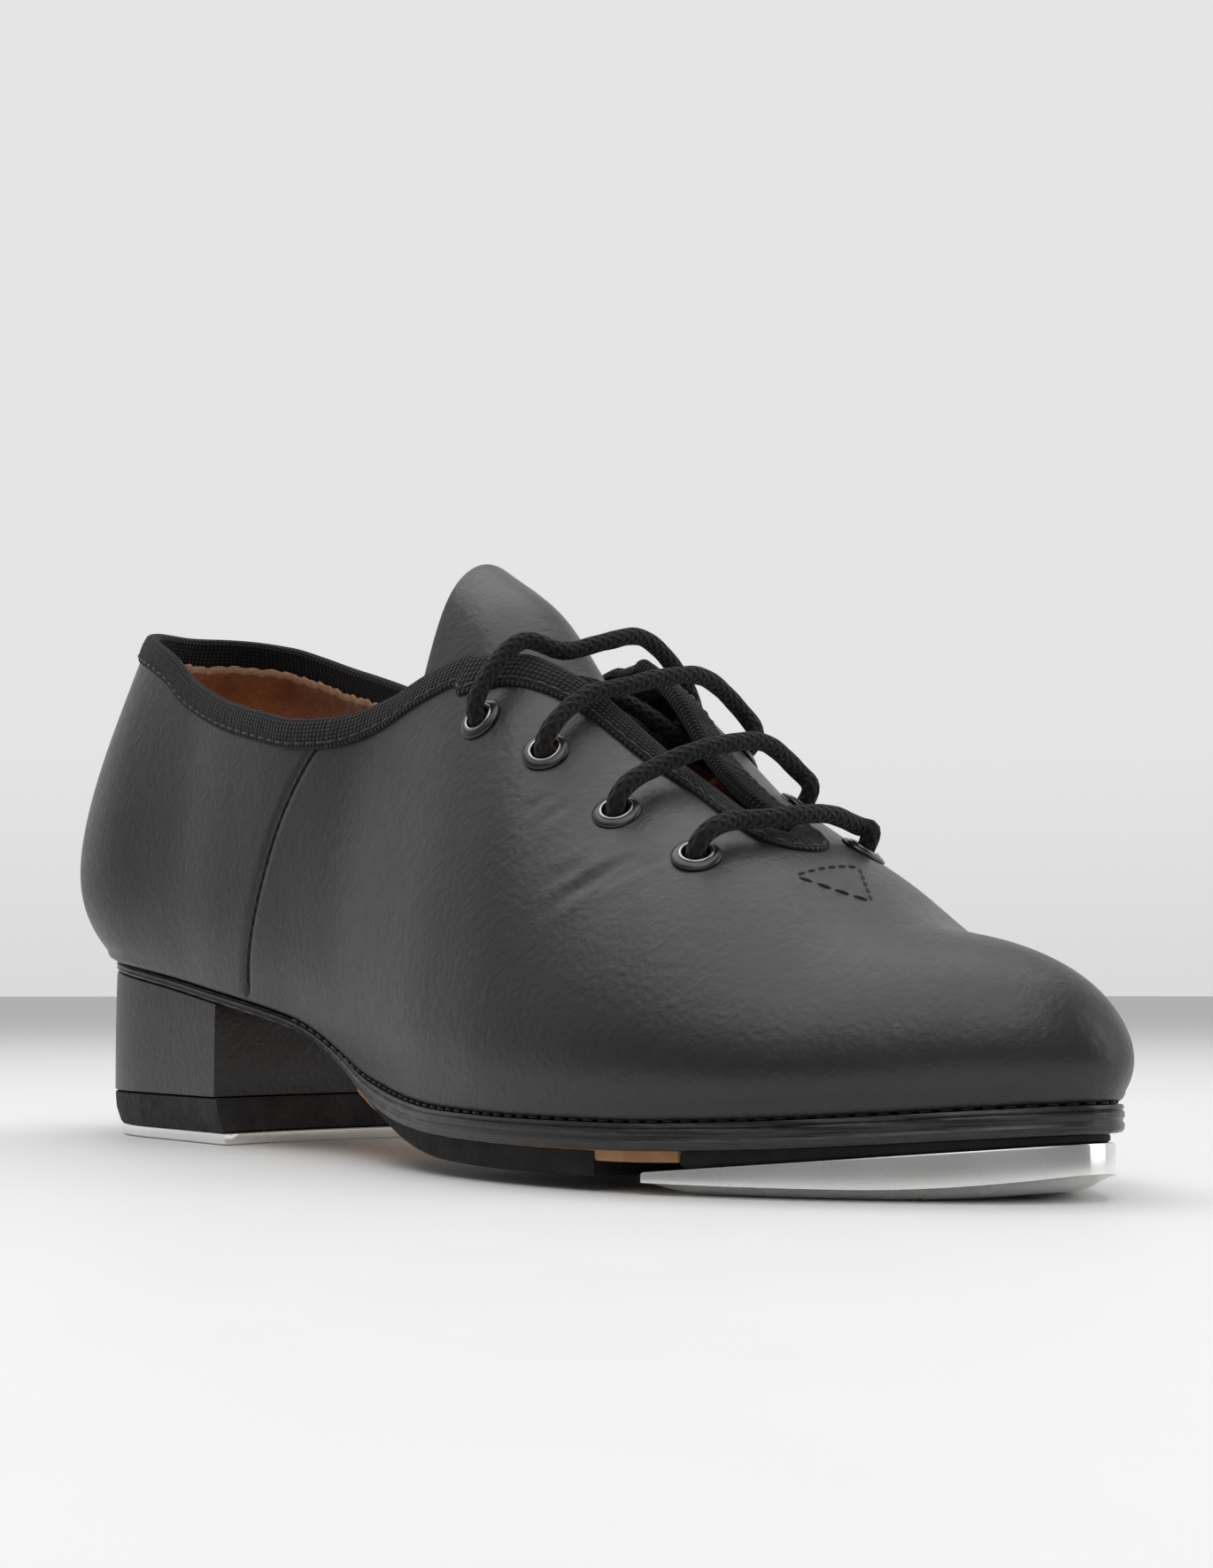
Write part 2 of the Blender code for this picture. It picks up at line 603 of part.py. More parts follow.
# ---- ribs and rows shared by every layer of the upper ---------------------------------------
def side_u(x, side):
    """Outline parameter at station x on one side."""
    if side < 0:
        return np.interp(x, DENSE_OUTLINE[:TOE_INDEX + 1, 0], DENSE_U[:TOE_INDEX + 1])
    xs = np.append(DENSE_OUTLINE[TOE_INDEX:, 0], DENSE_OUTLINE[0, 0])
    return np.interp(-x, -xs, np.append(DENSE_U[TOE_INDEX:], 1.0))


def spread(*zones):
    """Values for zones of (count, start, end), ending with the last zone's end."""
    parts = [np.linspace(a, b, n, endpoint=False) for n, a, b in zones]
    return np.append(np.concatenate(parts), zones[-1][2])


FRONT_RIBS = spread((8, side_u(FRONT_START, -1), side_u(FRONT_MIDDLE, -1)),
                    (12, side_u(FRONT_MIDDLE, -1), TOE_U - .02), (8, TOE_U - .02, TOE_U + .02),
                    (12, TOE_U + .02, side_u(FRONT_MIDDLE, 1)),
                    (10, side_u(FRONT_MIDDLE, 1), side_u(FRONT_START, 1)))
BACK_RIBS = spread((11, side_u(BACK_START, 1), 1.0), (11, 1.0, 1 + side_u(BACK_START, -1)))


def seam_u(t, side, shift):
    return side_u(seam_curve(t) * LAST_LENGTH + shift, side)


def vamp_ribs(t):
    """Rib parameters of the vamp at row share t; the outer ribs lean with the side seams."""
    lateral, medial = seam_u(t, -1, GAP / 2), seam_u(t, 1, GAP / 2)
    return np.concatenate([np.linspace(lateral, FRONT_RIBS[0], SEAM_COLUMNS, endpoint=False),
                           FRONT_RIBS, np.linspace(FRONT_RIBS[-1], medial, SEAM_COLUMNS + 1)[1:]])


def quarter_ribs(t):
    lateral, medial = 1 + seam_u(t, -1, -GAP / 2), seam_u(t, 1, -GAP / 2)
    return np.concatenate([np.linspace(medial, BACK_RIBS[0], SEAM_COLUMNS, endpoint=False),
                           BACK_RIBS, np.linspace(BACK_RIBS[-1], lateral, SEAM_COLUMNS + 1)[1:]])


COUNTER_COLUMNS = slice(SEAM_COLUMNS, SEAM_COLUMNS + len(BACK_RIBS))
PUFF_COLUMNS = slice(SEAM_COLUMNS + int(np.searchsorted(FRONT_RIBS, side_u(PUFF_START, -1))),
                     SEAM_COLUMNS + int(np.searchsorted(FRONT_RIBS, side_u(PUFF_START, 1))))


def bottom_phi(u, height):
    """phi at a height above the feather line."""
    trial = np.linspace(0, .6, 120)
    z = last_point(u[:, None], trial[None, :])[..., 2] - feather_z(OUTLINE(u)[:, :1])
    return np.array([np.interp(height, row, trial) for row in z])


def wall_grid(ribs):
    """Surface parameters of the wall's rows; the last row is the opening's edge."""
    share = np.linspace(0, 1, WALL_ROWS)
    u = np.array([ribs(t) for t in share])
    low = bottom_phi(u[0], FEATHER_RADIUS)
    high = edge_phi(u[-1], LINING_INSET)
    phi = low + (high - low) * share[:, None]
    return np.vstack([u, u[-1:]]), np.vstack([phi, edge_phi(u[-1], 0)])


# ---- upper ----------------------------------------------------------------------------------
def outer_leather(name, ribs):
    """Leather wall with its rounded feather line and its lasting margin under the foot."""
    u, phi = wall_grid(ribs)
    wall, normal = last_point(u, phi), last_normal(u, phi)
    foot, flat, r = wall[0], outline_normal(u[0]), FEATHER_RADIUS
    outer, inner = [], []
    for inset, lift, in_step, up_step in ((LASTING_MARGIN, 0, 0, LEATHER), (r, 0, .3, LEATHER),
                                          (r * .29, r * .29, LEATHER * .6, LEATHER * .75)):
        row = foot.copy()
        row[:, :2] -= flat * inset
        row[:, 2] = feather_z(row[:, 0]) + lift
        outer.append(row)
        under = row.copy()
        under[:, :2] -= flat * in_step
        under[:, 2] += up_step
        inner.append(under)
    wall_inner = wall - normal * LEATHER
    wall_inner[0, :, :2] = foot[:, :2] - flat * LEATHER
    wall_inner[0, :, 2] = feather_z(foot[:, 0]) + FEATHER_RADIUS + .1
    return sheet_solid(name, np.concatenate([outer, wall]), np.concatenate([inner, wall_inner]),
                       BLACK_LEATHER)


def inner_layer(name, ribs, rows, columns, stiffener, material):
    """Lining or stiffener under the leather, made from the leather's own rows and ribs."""
    u, phi = (grid[:WALL_ROWS] for grid in wall_grid(ribs))
    depth = np.full(u.shape, UNDER_LEATHER)
    if not stiffener:
        depth[:rows, columns] = UNDER_STIFFENER
    thickness = STIFFENER if stiffener else LINING
    part = (slice(rows), columns) if stiffener else (slice(None), slice(None))
    p, n, d = last_point(u, phi)[part], last_normal(u, phi)[part], depth[part][..., None]
    return sheet_solid(name, p - n * d, p - n * (d + thickness), material)


def make_upper():
    vamp = outer_leather("vamp", vamp_ribs)
    outer_leather("back_quarter", quarter_ribs)
    lining = inner_layer("vamp_lining", vamp_ribs, PUFF_ROWS, PUFF_COLUMNS, False, TAN_SUEDE)
    inner_layer("quarter_lining", quarter_ribs, COUNTER_ROWS, COUNTER_COLUMNS, False, TAN_SUEDE)
    inner_layer("toe_puff", vamp_ribs, PUFF_ROWS, PUFF_COLUMNS, True, STIFF_FELT)
    inner_layer("heel_counter", quarter_ribs, COUNTER_ROWS, COUNTER_COLUMNS, True, STIFF_FELT)
    holes = []
    for x, y in eyelet_places():
        holes.append((over(x, y, 0), normal_over(x, y),
                      straight_hole(EYELET_HOLE / 2 + EYELET_WALL + GAP, -8, 4)))
    drill(vamp, "vamp_eyelet_holes", holes)
    drill(lining, "lining_eyelet_holes", holes)


def make_edge_binding():
    """Tape folded over the leather's edge, all the way round the opening and the slit."""
    u = np.concatenate([vamp_ribs(1.0), quarter_ribs(1.0)[1:-1]])
    edge, low = edge_phi(u, 0), edge_phi(u, BINDING_WIDTH)
    p0, n0, p1, n1 = last_point(u, edge), last_normal(u, edge), last_point(u, low), last_normal(u, low)
    up = p0 - p1
    up /= np.linalg.norm(up, axis=1, keepdims=True)
    outside, inside, fold = GAP + BINDING_EASE, UNDER_LEATHER + BINDING_EASE, GAP + BINDING
    rings = [p1 + n1 * (outside + BINDING), p0 + n0 * fold * .9 + up * GAP,
             p0 - n0 * LEATHER * .2 + up * fold, p0 - n0 * LEATHER * .8 + up * fold,
             p0 - n0 * (inside + BINDING * .8) + up * GAP, p1 - n1 * (inside + BINDING),
             p1 - n1 * inside, p0 - n0 * inside, p0 - n0 * LEATHER / 2 + up * GAP,
             p0 + n0 * GAP, p1 + n1 * outside]
    loop_solid("edge_binding", rings, BLACK_KNIT)


# ---- tongue ---------------------------------------------------------------------------------
def tongue_grid(extra):
    grid = []
    for x in TONGUE_STATIONS:
        row = []
        for b in np.linspace(-1, 1, 9):
            side = smoothstep(.35, 1, abs(b))
            depth = tongue_depth(x) * (1 - side) + tongue_edge_depth(x) * side
            row.append(over(x, SLIT_MIDDLE + b * tongue_width(x), -(depth + extra)))
        grid.append(row)
    return np.array(grid)


def make_tongue():
    """Tongue, which bends where its base is stitched under the throat."""
    base = over(TONGUE_PIVOT_X, SLIT_MIDDLE, -(tongue_depth(TONGUE_PIVOT_X) + TONGUE))
    pivot = (TONGUE_PIVOT_X, SLIT_MIDDLE, base[2])
    sheet_solid("tongue", tongue_grid(0), tongue_grid(TONGUE), BLACK_LEATHER, pivot)
    top, under = tongue_grid(TONGUE + GAP), tongue_grid(TONGUE + GAP + TONGUE_LINING)
    sheet_solid("tongue_lining", top[1:-1], under[1:-1], TAN_SUEDE, pivot)


# ---- eyelets and lace -----------------------------------------------------------------------
def eyelet_places():
    return [(x, y) for ys in (LATERAL_EYELETS, MEDIAL_EYELETS) for x, y in zip(EYELET_ROWS, ys)]


def make_eyelets():
    hole, flange = EYELET_HOLE / 2, EYELET_FLANGE / 2
    barrel, inner, top = hole + EYELET_WALL, flange - .6, GAP + EYELET_RIM
    profile = ((flange, GAP), (flange - .5, top), (hole, top), (hole, -EYELET_GRIP - .35),
               (inner, -EYELET_GRIP - .35), (inner, -EYELET_GRIP), (barrel, -EYELET_GRIP),
               (barrel, GAP))
    for number, (x, y) in enumerate(eyelet_places()):
        side = ("lateral", "medial")[number // len(EYELET_ROWS)]
        rings = turned(profile, EYELET_SIDES, over(x, y, 0), normal_over(x, y))
        name = f"eyelet_{side}_{number % len(EYELET_ROWS) + 1}"
        loop_solid(name, rings, SILVER, over(x, y, 0))


def resting(x, y, lift=0.0):
    """Lace centre where it lies on the sock liner."""
    return np.array([x, y, feather_z(x) + SOCK_TOP + LACE / 2 + 2 * GAP + lift])


def up_through(row, y, step):
    """Route up through one eyelet, from under the leather to above it."""
    x = EYELET_ROWS[row]
    return [over(x, y + step * 6, LACE_UNDER), over(x, y + step * 2.4, LACE_UNDER + .3),
            over(x, y, LACE_ENTRY), over(x, y, LACE_EXIT)]


def bar_point(row, share):
    """Lace centre on the bar between two eyelets: share 0 lateral, 1 medial."""
    y0, y1 = LATERAL_EYELETS[row], MEDIAL_EYELETS[row]
    bow = math.sin(math.pi * share)
    x = EYELET_ROWS[row] + BAR_BOW * bow
    y = y0 + (y1 - y0) * share - BAR_LEAN * bow
    z = over(EYELET_ROWS[row], y0, 0)[2] + BAR_RISE[row] * float(bar_curve(share))
    if abs(y - slit_middle(x)) > slit_curve(x / LAST_LENGTH) - 2.5:
        z = max(z, over(x, y, 0)[2] + LACE_OUT / normal_over(x, y)[2])
    return np.array([x, y, z])


def lace_route():
    """One lace: medial tail, then bar, crossing, bar ... down the rows, and the lateral tail."""
    route = [resting(84, 12), resting(96, 13), resting(108, 13.5), resting(121, 14.5, 1),
             resting(133, 16.5, 8), resting(142, 19, 22), resting(149, 20, 38)]
    for row, x in enumerate(EYELET_ROWS):
        lateral, medial = LATERAL_EYELETS[row], MEDIAL_EYELETS[row]
        up = up_through(row, medial, -1)
        route += up if row else up[2:]
        route += [over(x, medial - .8, 4.4), bar_point(row, 1) + np.array([0, .6, 0])]
        route += [bar_point(row, share) for share in (.8, .6, .4, .2)]
        route.append(over(x, lateral + 2.4, LACE_OUT))
        down = up_through(row, lateral, 1)[::-1]
        if row == len(EYELET_ROWS) - 1:
            route += down[:2]
            continue
        route += down
        start = np.array([x, lateral + 6])
        end = np.array([EYELET_ROWS[row + 1], MEDIAL_EYELETS[row + 1] - 6])
        for t in (.33, .67):
            q = start + (end - start) * t
            route.append(over(q[0], q[1], LACE_UNDER))
    return route + [resting(203, -18.3, 18), resting(199, -18, 8), resting(191, -17.5, 1.5),
                    resting(181, -17), resting(171, -16.5), resting(160, -16), resting(149, -15.5, 3)]


def make_lace():
    route = lace_route()
    curve = bpy.data.curves.new("lace", "CURVE")
    curve.dimensions = "3D"
    curve.bevel_depth = LACE / 2 * 0.001
    curve.bevel_resolution = 2
    curve.use_fill_caps = True
    line = curve.splines.new("POLY")
    line.points.add(len(route) - 1)
    for point, p in zip(line.points, route):
        point.co = (*((p - ORIGIN) * 0.001), 1)
    curve.materials.append(LACE_BLACK)
    bpy.context.collection.objects.link(bpy.data.objects.new("lace", curve))
    for name, end, before in (("aglet_medial", route[0], route[1]),
                              ("aglet_lateral", route[-1], route[-2])):
        away = (end - before) / np.linalg.norm(end - before)
        profile = ((AGLET / 2, 0), (AGLET / 2, AGLET_LENGTH - 1), (AGLET / 2 - .7, AGLET_LENGTH))
        round_solid(name, turned(profile, 10, end + away * GAP, away), LACE_BLACK)


# ---- bottom ---------------------------------------------------------------------------------
def sole_under(x):
    """Underside of the outsole, which is thinner at the waist and the seat."""
    return feather_z(x) - GAP - SEAT_OUTSOLE - (OUTSOLE - SEAT_OUTSOLE) * smoothstep(104, 146, x)


def pad_under(x):
    return sole_under(x) - GAP - PAD * smoothstep(PAD_REAR - 16, PAD_REAR + 46, x)


def sole_inset(x):
    return SEAT_INSET - (SEAT_INSET + SOLE_EDGE) * smoothstep(96, 140, x)


def slab(name, outline, top, bottom, bevel, material):
    """Flat-edged layer between two heights that are functions of x."""
    x, low = outline[:, 0], shrink(outline, bevel)
    rings = [at_height(low, bottom(low[:, 0])), at_height(outline, bottom(x) + bevel),
             at_height(outline, top(x))]
    return layered_solid(name, rings, material)


def above_feather(lift):
    return lambda x: feather_z(x) + lift


def make_bottom():
    """Layers under the foot; returns the two that the nails and screws pass through."""
    sock_under = ABOVE_MARGIN + INSOLE + GAP
    slab("sock_liner", layer_outline(SOCK_INSET), above_feather(SOCK_TOP), above_feather(sock_under),
         .3, TAN_SUEDE)
    insole = slab("insole", layer_outline(INSOLE_INSET), above_feather(ABOVE_MARGIN + INSOLE),
                  above_feather(ABOVE_MARGIN), .3, FIBREBOARD)
    slab("bottom_filler", layer_outline(LASTING_MARGIN + 2 * GAP, 136, 244),
         above_feather(LEATHER - .1), above_feather(.1), .2, FIBREBOARD)
    shank = layer_outline(0, SHANK_REAR, SHANK_FRONT)
    shank[:, 1] = np.sign(shank[:, 1]) * SHANK_WIDTH / 2
    slab("shank", shank, above_feather(LEATHER - .1), above_feather(.1), .2, STEEL)
    outsole = slab("outsole", layer_outline(sole_inset), above_feather(-GAP), sole_under, .4,
                   SOLE_BLACK)
    slab("forepart_pad", layer_outline(PAD_INSET, PAD_REAR, PAD_FRONT),
         lambda x: sole_under(x) - GAP, pad_under, .4, RUBBER)
    return insole, outsole


def tap_top(x):
    return TOE_TAP_REAR_HEIGHT + TOE_TAP_TILT * (x - TOE_TAP_REAR)


def tap_ground(x):
    return TOE_TAP_RISE * np.maximum(x - TOE_TAP_RISE_FROM, 0) ** 2


def tap_ring(inset, inward):
    """Ring of the toe tap's underside: flat in the middle, bevelled up to the rim."""
    ring = toe_outline(inset, TOE_TAP_REAR + inset, 18)
    bevel = (1 - smoothstep(0, TOE_TAP_BEVEL, inward)) ** 1.5
    return at_height(ring, tap_ground(ring[:, 0]) + TOE_TAP_RIM * bevel)


def make_toe_tap():
    """Toe tap, the board above it and its screws; returns the screw holes to cut in the sole."""
    board = toe_outline(BOARD_INSET, BOARD_REAR, 16)
    board_object = layered_solid("toe_tap_board", [at_height(board, tap_top(board[:, 0]) + GAP),
                                                   at_height(board, sole_under(board[:, 0]) - GAP)],
                                 RUBBER)
    rings = [tap_ring(TOE_TAP_INSET + step, step) for step in (TOE_TAP_BEVEL, 3.2, 1.2, 0)]
    for step, down in ((0, .4), (.4, 0)):
        ring = toe_outline(TOE_TAP_INSET + step, TOE_TAP_REAR + step, 18)
        rings.append(at_height(ring, tap_top(ring[:, 0]) - down))
    tap = layered_solid("toe_tap", rings, ALUMINIUM)
    places = [np.array([x, y, HEAD_SUNK + tap_ground(x)]) for x, y in TOE_SCREWS]
    for number, base in enumerate(places, 1):
        make_screw(f"toe_tap_screw_{number}", base, TOE_SCREW_LENGTH)
    drill(tap, "toe_tap_holes", [(base, (0, 0, 1), sunk_hole()) for base in places])
    shaft = straight_hole(SCREW / 2 + GAP, -2, TOE_SCREW_LENGTH + GAP)
    holes = [(base, (0, 0, 1), shaft) for base in places]
    drill(board_object, "toe_board_holes", holes)
    return holes


def sunk_hole():
    """Countersunk hole round a screw's head and shaft."""
    head, shaft = SCREW_HEAD / 2 + GAP, SCREW / 2 + GAP
    return (head, -3), (head, .35), (shaft, HEAD_DEPTH + .35), (shaft, 12)


def make_screw(name, base, length):
    """Slotted countersunk screw, head down; it turns about its own upright axis."""
    head, shaft = SCREW_HEAD / 2, SCREW / 2
    profile = ((head - .2, 0), (head, .2), (shaft, HEAD_DEPTH), (shaft, length - 1.2),
               (shaft * .4, length))
    screw = round_solid(name, turned(profile, SCREW_SIDES, base, (0, 0, 1)), STEEL, base)
    turn = math.radians(35 + 50 * (base[0] % 7))
    along = np.array([math.cos(turn), math.sin(turn), 0]) * SCREW_HEAD * .6
    across = np.array([-math.sin(turn), math.cos(turn), 0]) * SLOT_WIDTH / 2
    corners = np.array([along + across, along - across, -along - across, -along + across])
    low, high = np.array([0, 0, -SLOT_DEPTH]), np.array([0, 0, SLOT_DEPTH])
    rings = [base + corners + low, base + corners + high]
    cut_away(screw, round_solid(name + "_slot", rings, STEEL, base))


# ---- heel -----------------------------------------------------------------------------------
def make_heel(insole, outsole, toe_holes):
    """Stacked heel under the seat, its tap, and the screws and nails that hold it."""
    lift_z = HEEL_TAP + GAP
    block_z = lift_z + HEEL_LIFT + GAP
    breast = HEEL_LENGTH - 1.2
    tap = layered_solid("heel_tap", [
        at_height(heel_outline(HEEL_TAP_INSET + HEEL_TAP_BEVEL, HEEL_LENGTH), 0),
        at_height(heel_outline(HEEL_TAP_INSET, HEEL_LENGTH + .6), HEEL_TAP_BEVEL),
        at_height(heel_outline(HEEL_TAP_INSET, HEEL_LENGTH + .6), HEEL_TAP)], ALUMINIUM)
    lift = layered_solid("heel_lift", [
        at_height(heel_outline(1.7, HEEL_LENGTH + .3), lift_z),
        at_height(heel_outline(.7, HEEL_LENGTH), lift_z + HEEL_LIFT * .5),
        at_height(heel_outline(.5, HEEL_LENGTH - .6), lift_z + HEEL_LIFT)], RUBBER)
    inner = heel_outline(.4 + HEEL_COVER + GAP, breast - HEEL_COVER - GAP)
    block = layered_solid("heel_block", [at_height(inner, block_z),
                                         at_height(inner, sole_under(inner[:, 0]) - GAP)], FIBREBOARD)
    outside, inside = heel_outline(.4, breast), heel_outline(.35 + HEEL_COVER, breast - HEEL_COVER)
    loop_solid("heel_cover", [at_height(outside, block_z),
                              at_height(outside, sole_under(outside[:, 0]) - GAP),
                              at_height(inside, sole_under(inside[:, 0]) - GAP),
                              at_height(inside, block_z)], HEEL_BLACK)
    places = [np.array([x, y, HEAD_SUNK]) for x, y in HEEL_SCREWS]
    for number, base in enumerate(places, 1):
        make_screw(f"heel_tap_screw_{number}", base, HEEL_SCREW_LENGTH)
    shaft = straight_hole(SCREW / 2 + GAP, -2, HEEL_SCREW_LENGTH + GAP)
    screws = [(base, (0, 0, 1), shaft) for base in places]
    drill(tap, "heel_tap_holes", [(base, (0, 0, 1), sunk_hole()) for base in places])
    drill(lift, "heel_lift_holes", screws)
    nails = []
    for number, (x, y) in enumerate(HEEL_NAILS, 1):
        base = np.array([x, y, feather_z(x) + ABOVE_MARGIN + INSOLE - .1 - NAIL_LENGTH])
        profile = ((NAIL * .15, 0), (NAIL / 2, 2), (NAIL / 2, NAIL_LENGTH))
        round_solid(f"heel_nail_{number}", turned(profile, 8, base, (0, 0, 1)), STEEL)
        nails.append((base, (0, 0, 1), straight_hole(NAIL / 2 + GAP, -GAP, NAIL_LENGTH + 4)))
    drill(insole, "insole_nail_holes", nails, 10)
    drill(outsole, "outsole_nail_holes", nails, 10)
    drill(outsole, "outsole_screw_holes", toe_holes)
    drill(block, "block_nail_holes", nails, 10)
    drill(block, "block_screw_holes", screws)


def main():
    make_upper()
    make_edge_binding()
    make_tongue()
    make_eyelets()
    make_lace()
    insole, outsole = make_bottom()
    toe_holes = make_toe_tap()
    make_heel(insole, outsole, toe_holes)


main()
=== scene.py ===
"""Looks of the tap shoe: the fine surface of every piece, its materials, the light and the camera.

Shapes are worked out in millimetres on the last (heel at x = 0, toe towards +X, lateral side
towards -Y) and moved into the row frame, in metres, by place().
"""
import json
import math

import bpy
import numpy as np
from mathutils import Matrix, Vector


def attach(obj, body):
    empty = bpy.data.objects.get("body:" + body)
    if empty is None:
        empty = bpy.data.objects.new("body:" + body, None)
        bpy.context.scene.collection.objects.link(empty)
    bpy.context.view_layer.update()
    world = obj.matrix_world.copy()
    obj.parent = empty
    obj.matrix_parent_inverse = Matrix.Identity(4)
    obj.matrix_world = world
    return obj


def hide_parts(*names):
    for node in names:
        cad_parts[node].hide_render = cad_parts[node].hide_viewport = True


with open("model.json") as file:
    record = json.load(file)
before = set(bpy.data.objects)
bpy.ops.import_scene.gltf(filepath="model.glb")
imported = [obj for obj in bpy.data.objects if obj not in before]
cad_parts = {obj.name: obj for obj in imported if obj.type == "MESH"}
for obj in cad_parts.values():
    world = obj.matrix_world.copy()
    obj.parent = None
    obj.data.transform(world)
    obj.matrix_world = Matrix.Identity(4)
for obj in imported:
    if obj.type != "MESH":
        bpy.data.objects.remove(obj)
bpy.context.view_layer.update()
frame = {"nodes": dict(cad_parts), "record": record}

# ---- last: overall sizes -------------------------------------------------------------------
LAST_LENGTH = 264.5        # feather line, heel to toe
BALL_WIDTH = 82.0          # feather line, across the ball
SEAT_RISE = 28.3           # back of the heel seat above the tread
TOE_SPRING = 3.5           # toe tip above the tread
INSTEP_HEIGHT = 56.6       # crest over the ball-side of the throat, above the tread
BACK_HEIGHT = 71.0         # binding's top edge at the heel, above the back of the seat

# ---- last: shape, as shares of length and width -------------------------------------------
LATERAL_OUTLINE = ((.045, -.274), (.170, -.348), (.302, -.354), (.435, -.354),
                   (.567, -.457), (.699, -.506), (.832, -.421), (.945, -.183))
MEDIAL_OUTLINE = ((.045, .250), (.170, .341), (.302, .329), (.435, .274),
                  (.567, .360), (.718, .494), (.851, .439), (.945, .268))
TOE_POINT = (1.0, .073)
HEEL_POINT = (.0, -.012)
ARCH = ((0, 1), (.113, .880), (.234, .717), (.359, .519), (.491, .134), (.624, .011), (.718, 0),
        (1, 0))
SPRING = ((0, 0), (.78, 0), (.85, .17), (1, 1))
CREST = ((0, 2.24), (.151, 2.26), (.340, 2.28), (.435, 1.88), (.529, 1.63), (.624, 1.315),
         (.699, 1.0), (.794, .758), (.888, .588), (.991, .68))
SPINE_BACK = .113
SPINE_FRONT = .673
SPINE_SOFTNESS = 18.0
SPINE_SHIFT = -2.0
TOE_ROUNDNESS, HEEL_ROUNDNESS = 3.4, 2.1
SIDE_ROUNDNESS = (2.2, 2.5)      # lateral, medial
INSTEP_ROUNDNESS = (1.9, 2.3)    # lateral, medial
TOE_BULGE, HEEL_BULGE = 4.2, 9.0
SIDE_BULGE = (4.0, 6.5)          # lateral, medial

# ---- layers and clearances ----------------------------------------------------------------
GAP = 0.3                  # between any two touching pieces
LEATHER = 1.3
LINING = 0.8
STIFFENER = 1.0
BINDING = 0.7
BINDING_WIDTH = 4.8
FEATHER_RADIUS = 2.0       # round edge between the wall and the lasting margin
INSOLE = 1.8
SOCK = 1.2
OUTSOLE = 4.0
SEAT_OUTSOLE = 2.0
SOLE_EDGE = 1.2            # outsole past the feather line, forepart
SEAT_INSET = 0.3           # outsole inside the feather line, heel seat
PAD = 3.9
PAD_INSET = 0.6
TAP_BOARD = 1.5
TOE_TAP = 4.3
UNDER_LEATHER = LEATHER + GAP
ABOVE_MARGIN = LEATHER + GAP
SOCK_TOP = ABOVE_MARGIN + INSOLE + GAP + SOCK
LINING_INSET = BINDING_WIDTH + 0.7    # lining's top edge below the opening's edge

# ---- side seam
SEAM = ((0, .306), (.28, .330), (.55, .352), (.8, .376), (1, .397))   # side seam's station

# ---- opening: binding's top edge above the seat, as shares of the back height ---------------
LATERAL_TOPLINE = ((0, 1), (.030, 1.0), (.098, .944), (.144, .880), (.189, .785), (.246, .706),
                   (.306, .650), (.363, .610), (.397, .605), (.454, .638), (.499, .695),
                   (.537, .727), (.567, .735), (.59, .82), (.63, 1.1), (1, 1.6))
MEDIAL_TOPLINE = ((0, 1), (.030, 1.005), (.067, .98), (.093, .945), (.125, .901), (.160, .861),
                  (.195, .820), (.246, .752), (.306, .700), (.363, .662), (.397, .652),
                  (.454, .672), (.499, .710), (.537, .733), (.567, .740), (.59, .82), (.63, 1.1),
                  (1, 1.6))
SLIT_HALF_WIDTH = ((.54, 15.7), (.567, 13.9), (.597, 12.0), (.643, 8.8), (.688, 5.5), (.733, 3.5),
                   (1.0, 2.7))
SLIT_END = 206.0
SLIT_MIDDLE = -0.6
SLIT_LEAN = 1.8            # slit's wide end leans to the lateral side
SLIT_START = 143.0
CORNER_RADIUS = 1.6
EDGE_FOLD = BINDING + GAP + 0.1   # binding's fold past the leather's cut edge

# ---- eyelets and lace -----------------------------------------------------------------------
EYELET_ROWS = (152.5, 170.0, 187.0, 204.5)
LATERAL_EYELETS = (-24.9, -23.8, -21.9, -19.7)
MEDIAL_EYELETS = (20.5, 20.0, 18.5, 16.5)
EYELET_FLANGE = 8.2
EYELET_GRIP = UNDER_LEATHER + LINING + 0.7    # under the flange to the inner flange
LACE = 3.2
LACE_OUT = 3.3             # lace centre above the leather where it lies on it
LACE_UNDER = -5.9          # lace centre below the leather's outer face, inside
LACE_EXIT = 1.6            # the lace is straight along the eyelet from LACE_ENTRY to LACE_EXIT
LACE_ENTRY = -4.3
BAR_BOW = 2.5              # bars bow towards the toe
BAR_LEAN = 2.0             # and to the lateral side
BAR_RISE = (16.3, 15.1, 13.1, 7.6)            # each bar's peak above its eyelets
BAR_SHAPE = ((0, 0), (.2, .54), (.4, .80), (.6, .95), (.8, 1.0), (1, .62))
AGLET_LENGTH = 18.0

# ---- tongue ---------------------------------------------------------------------------------
TONGUE_HALF_WIDTH = ((122, 23.0), (124, 24.0), (140, 24.0), (152, 19.5), (170, 17.0),
                     (187, 15.5), (204, 13.0), (222, 12.0))
TONGUE_DEPTH = ((121, 1.2), (135, 1.8), (146, 5.2), (156, 8.6), (207, 8.6), (216, 4.4), (222, 3.6))
TONGUE_EDGE_DEPTH = ((121, 4.6), (140, 5.6), (150, 7.6), (156, 8.6), (207, 8.6), (216, 4.4),
                     (222, 3.6))
TONGUE = 1.2
TONGUE_LINING = 0.7

# ---- heel -----------------------------------------------------------------------------------
HEEL_LENGTH = 68.0
BREAST_SAG = 3.3
HEEL_LIFT = 6.4
HEEL_TAP = 2.4
HEEL_SCREWS = ((13.0, -1.0), (54.0, -15.0), (54.0, 15.0))

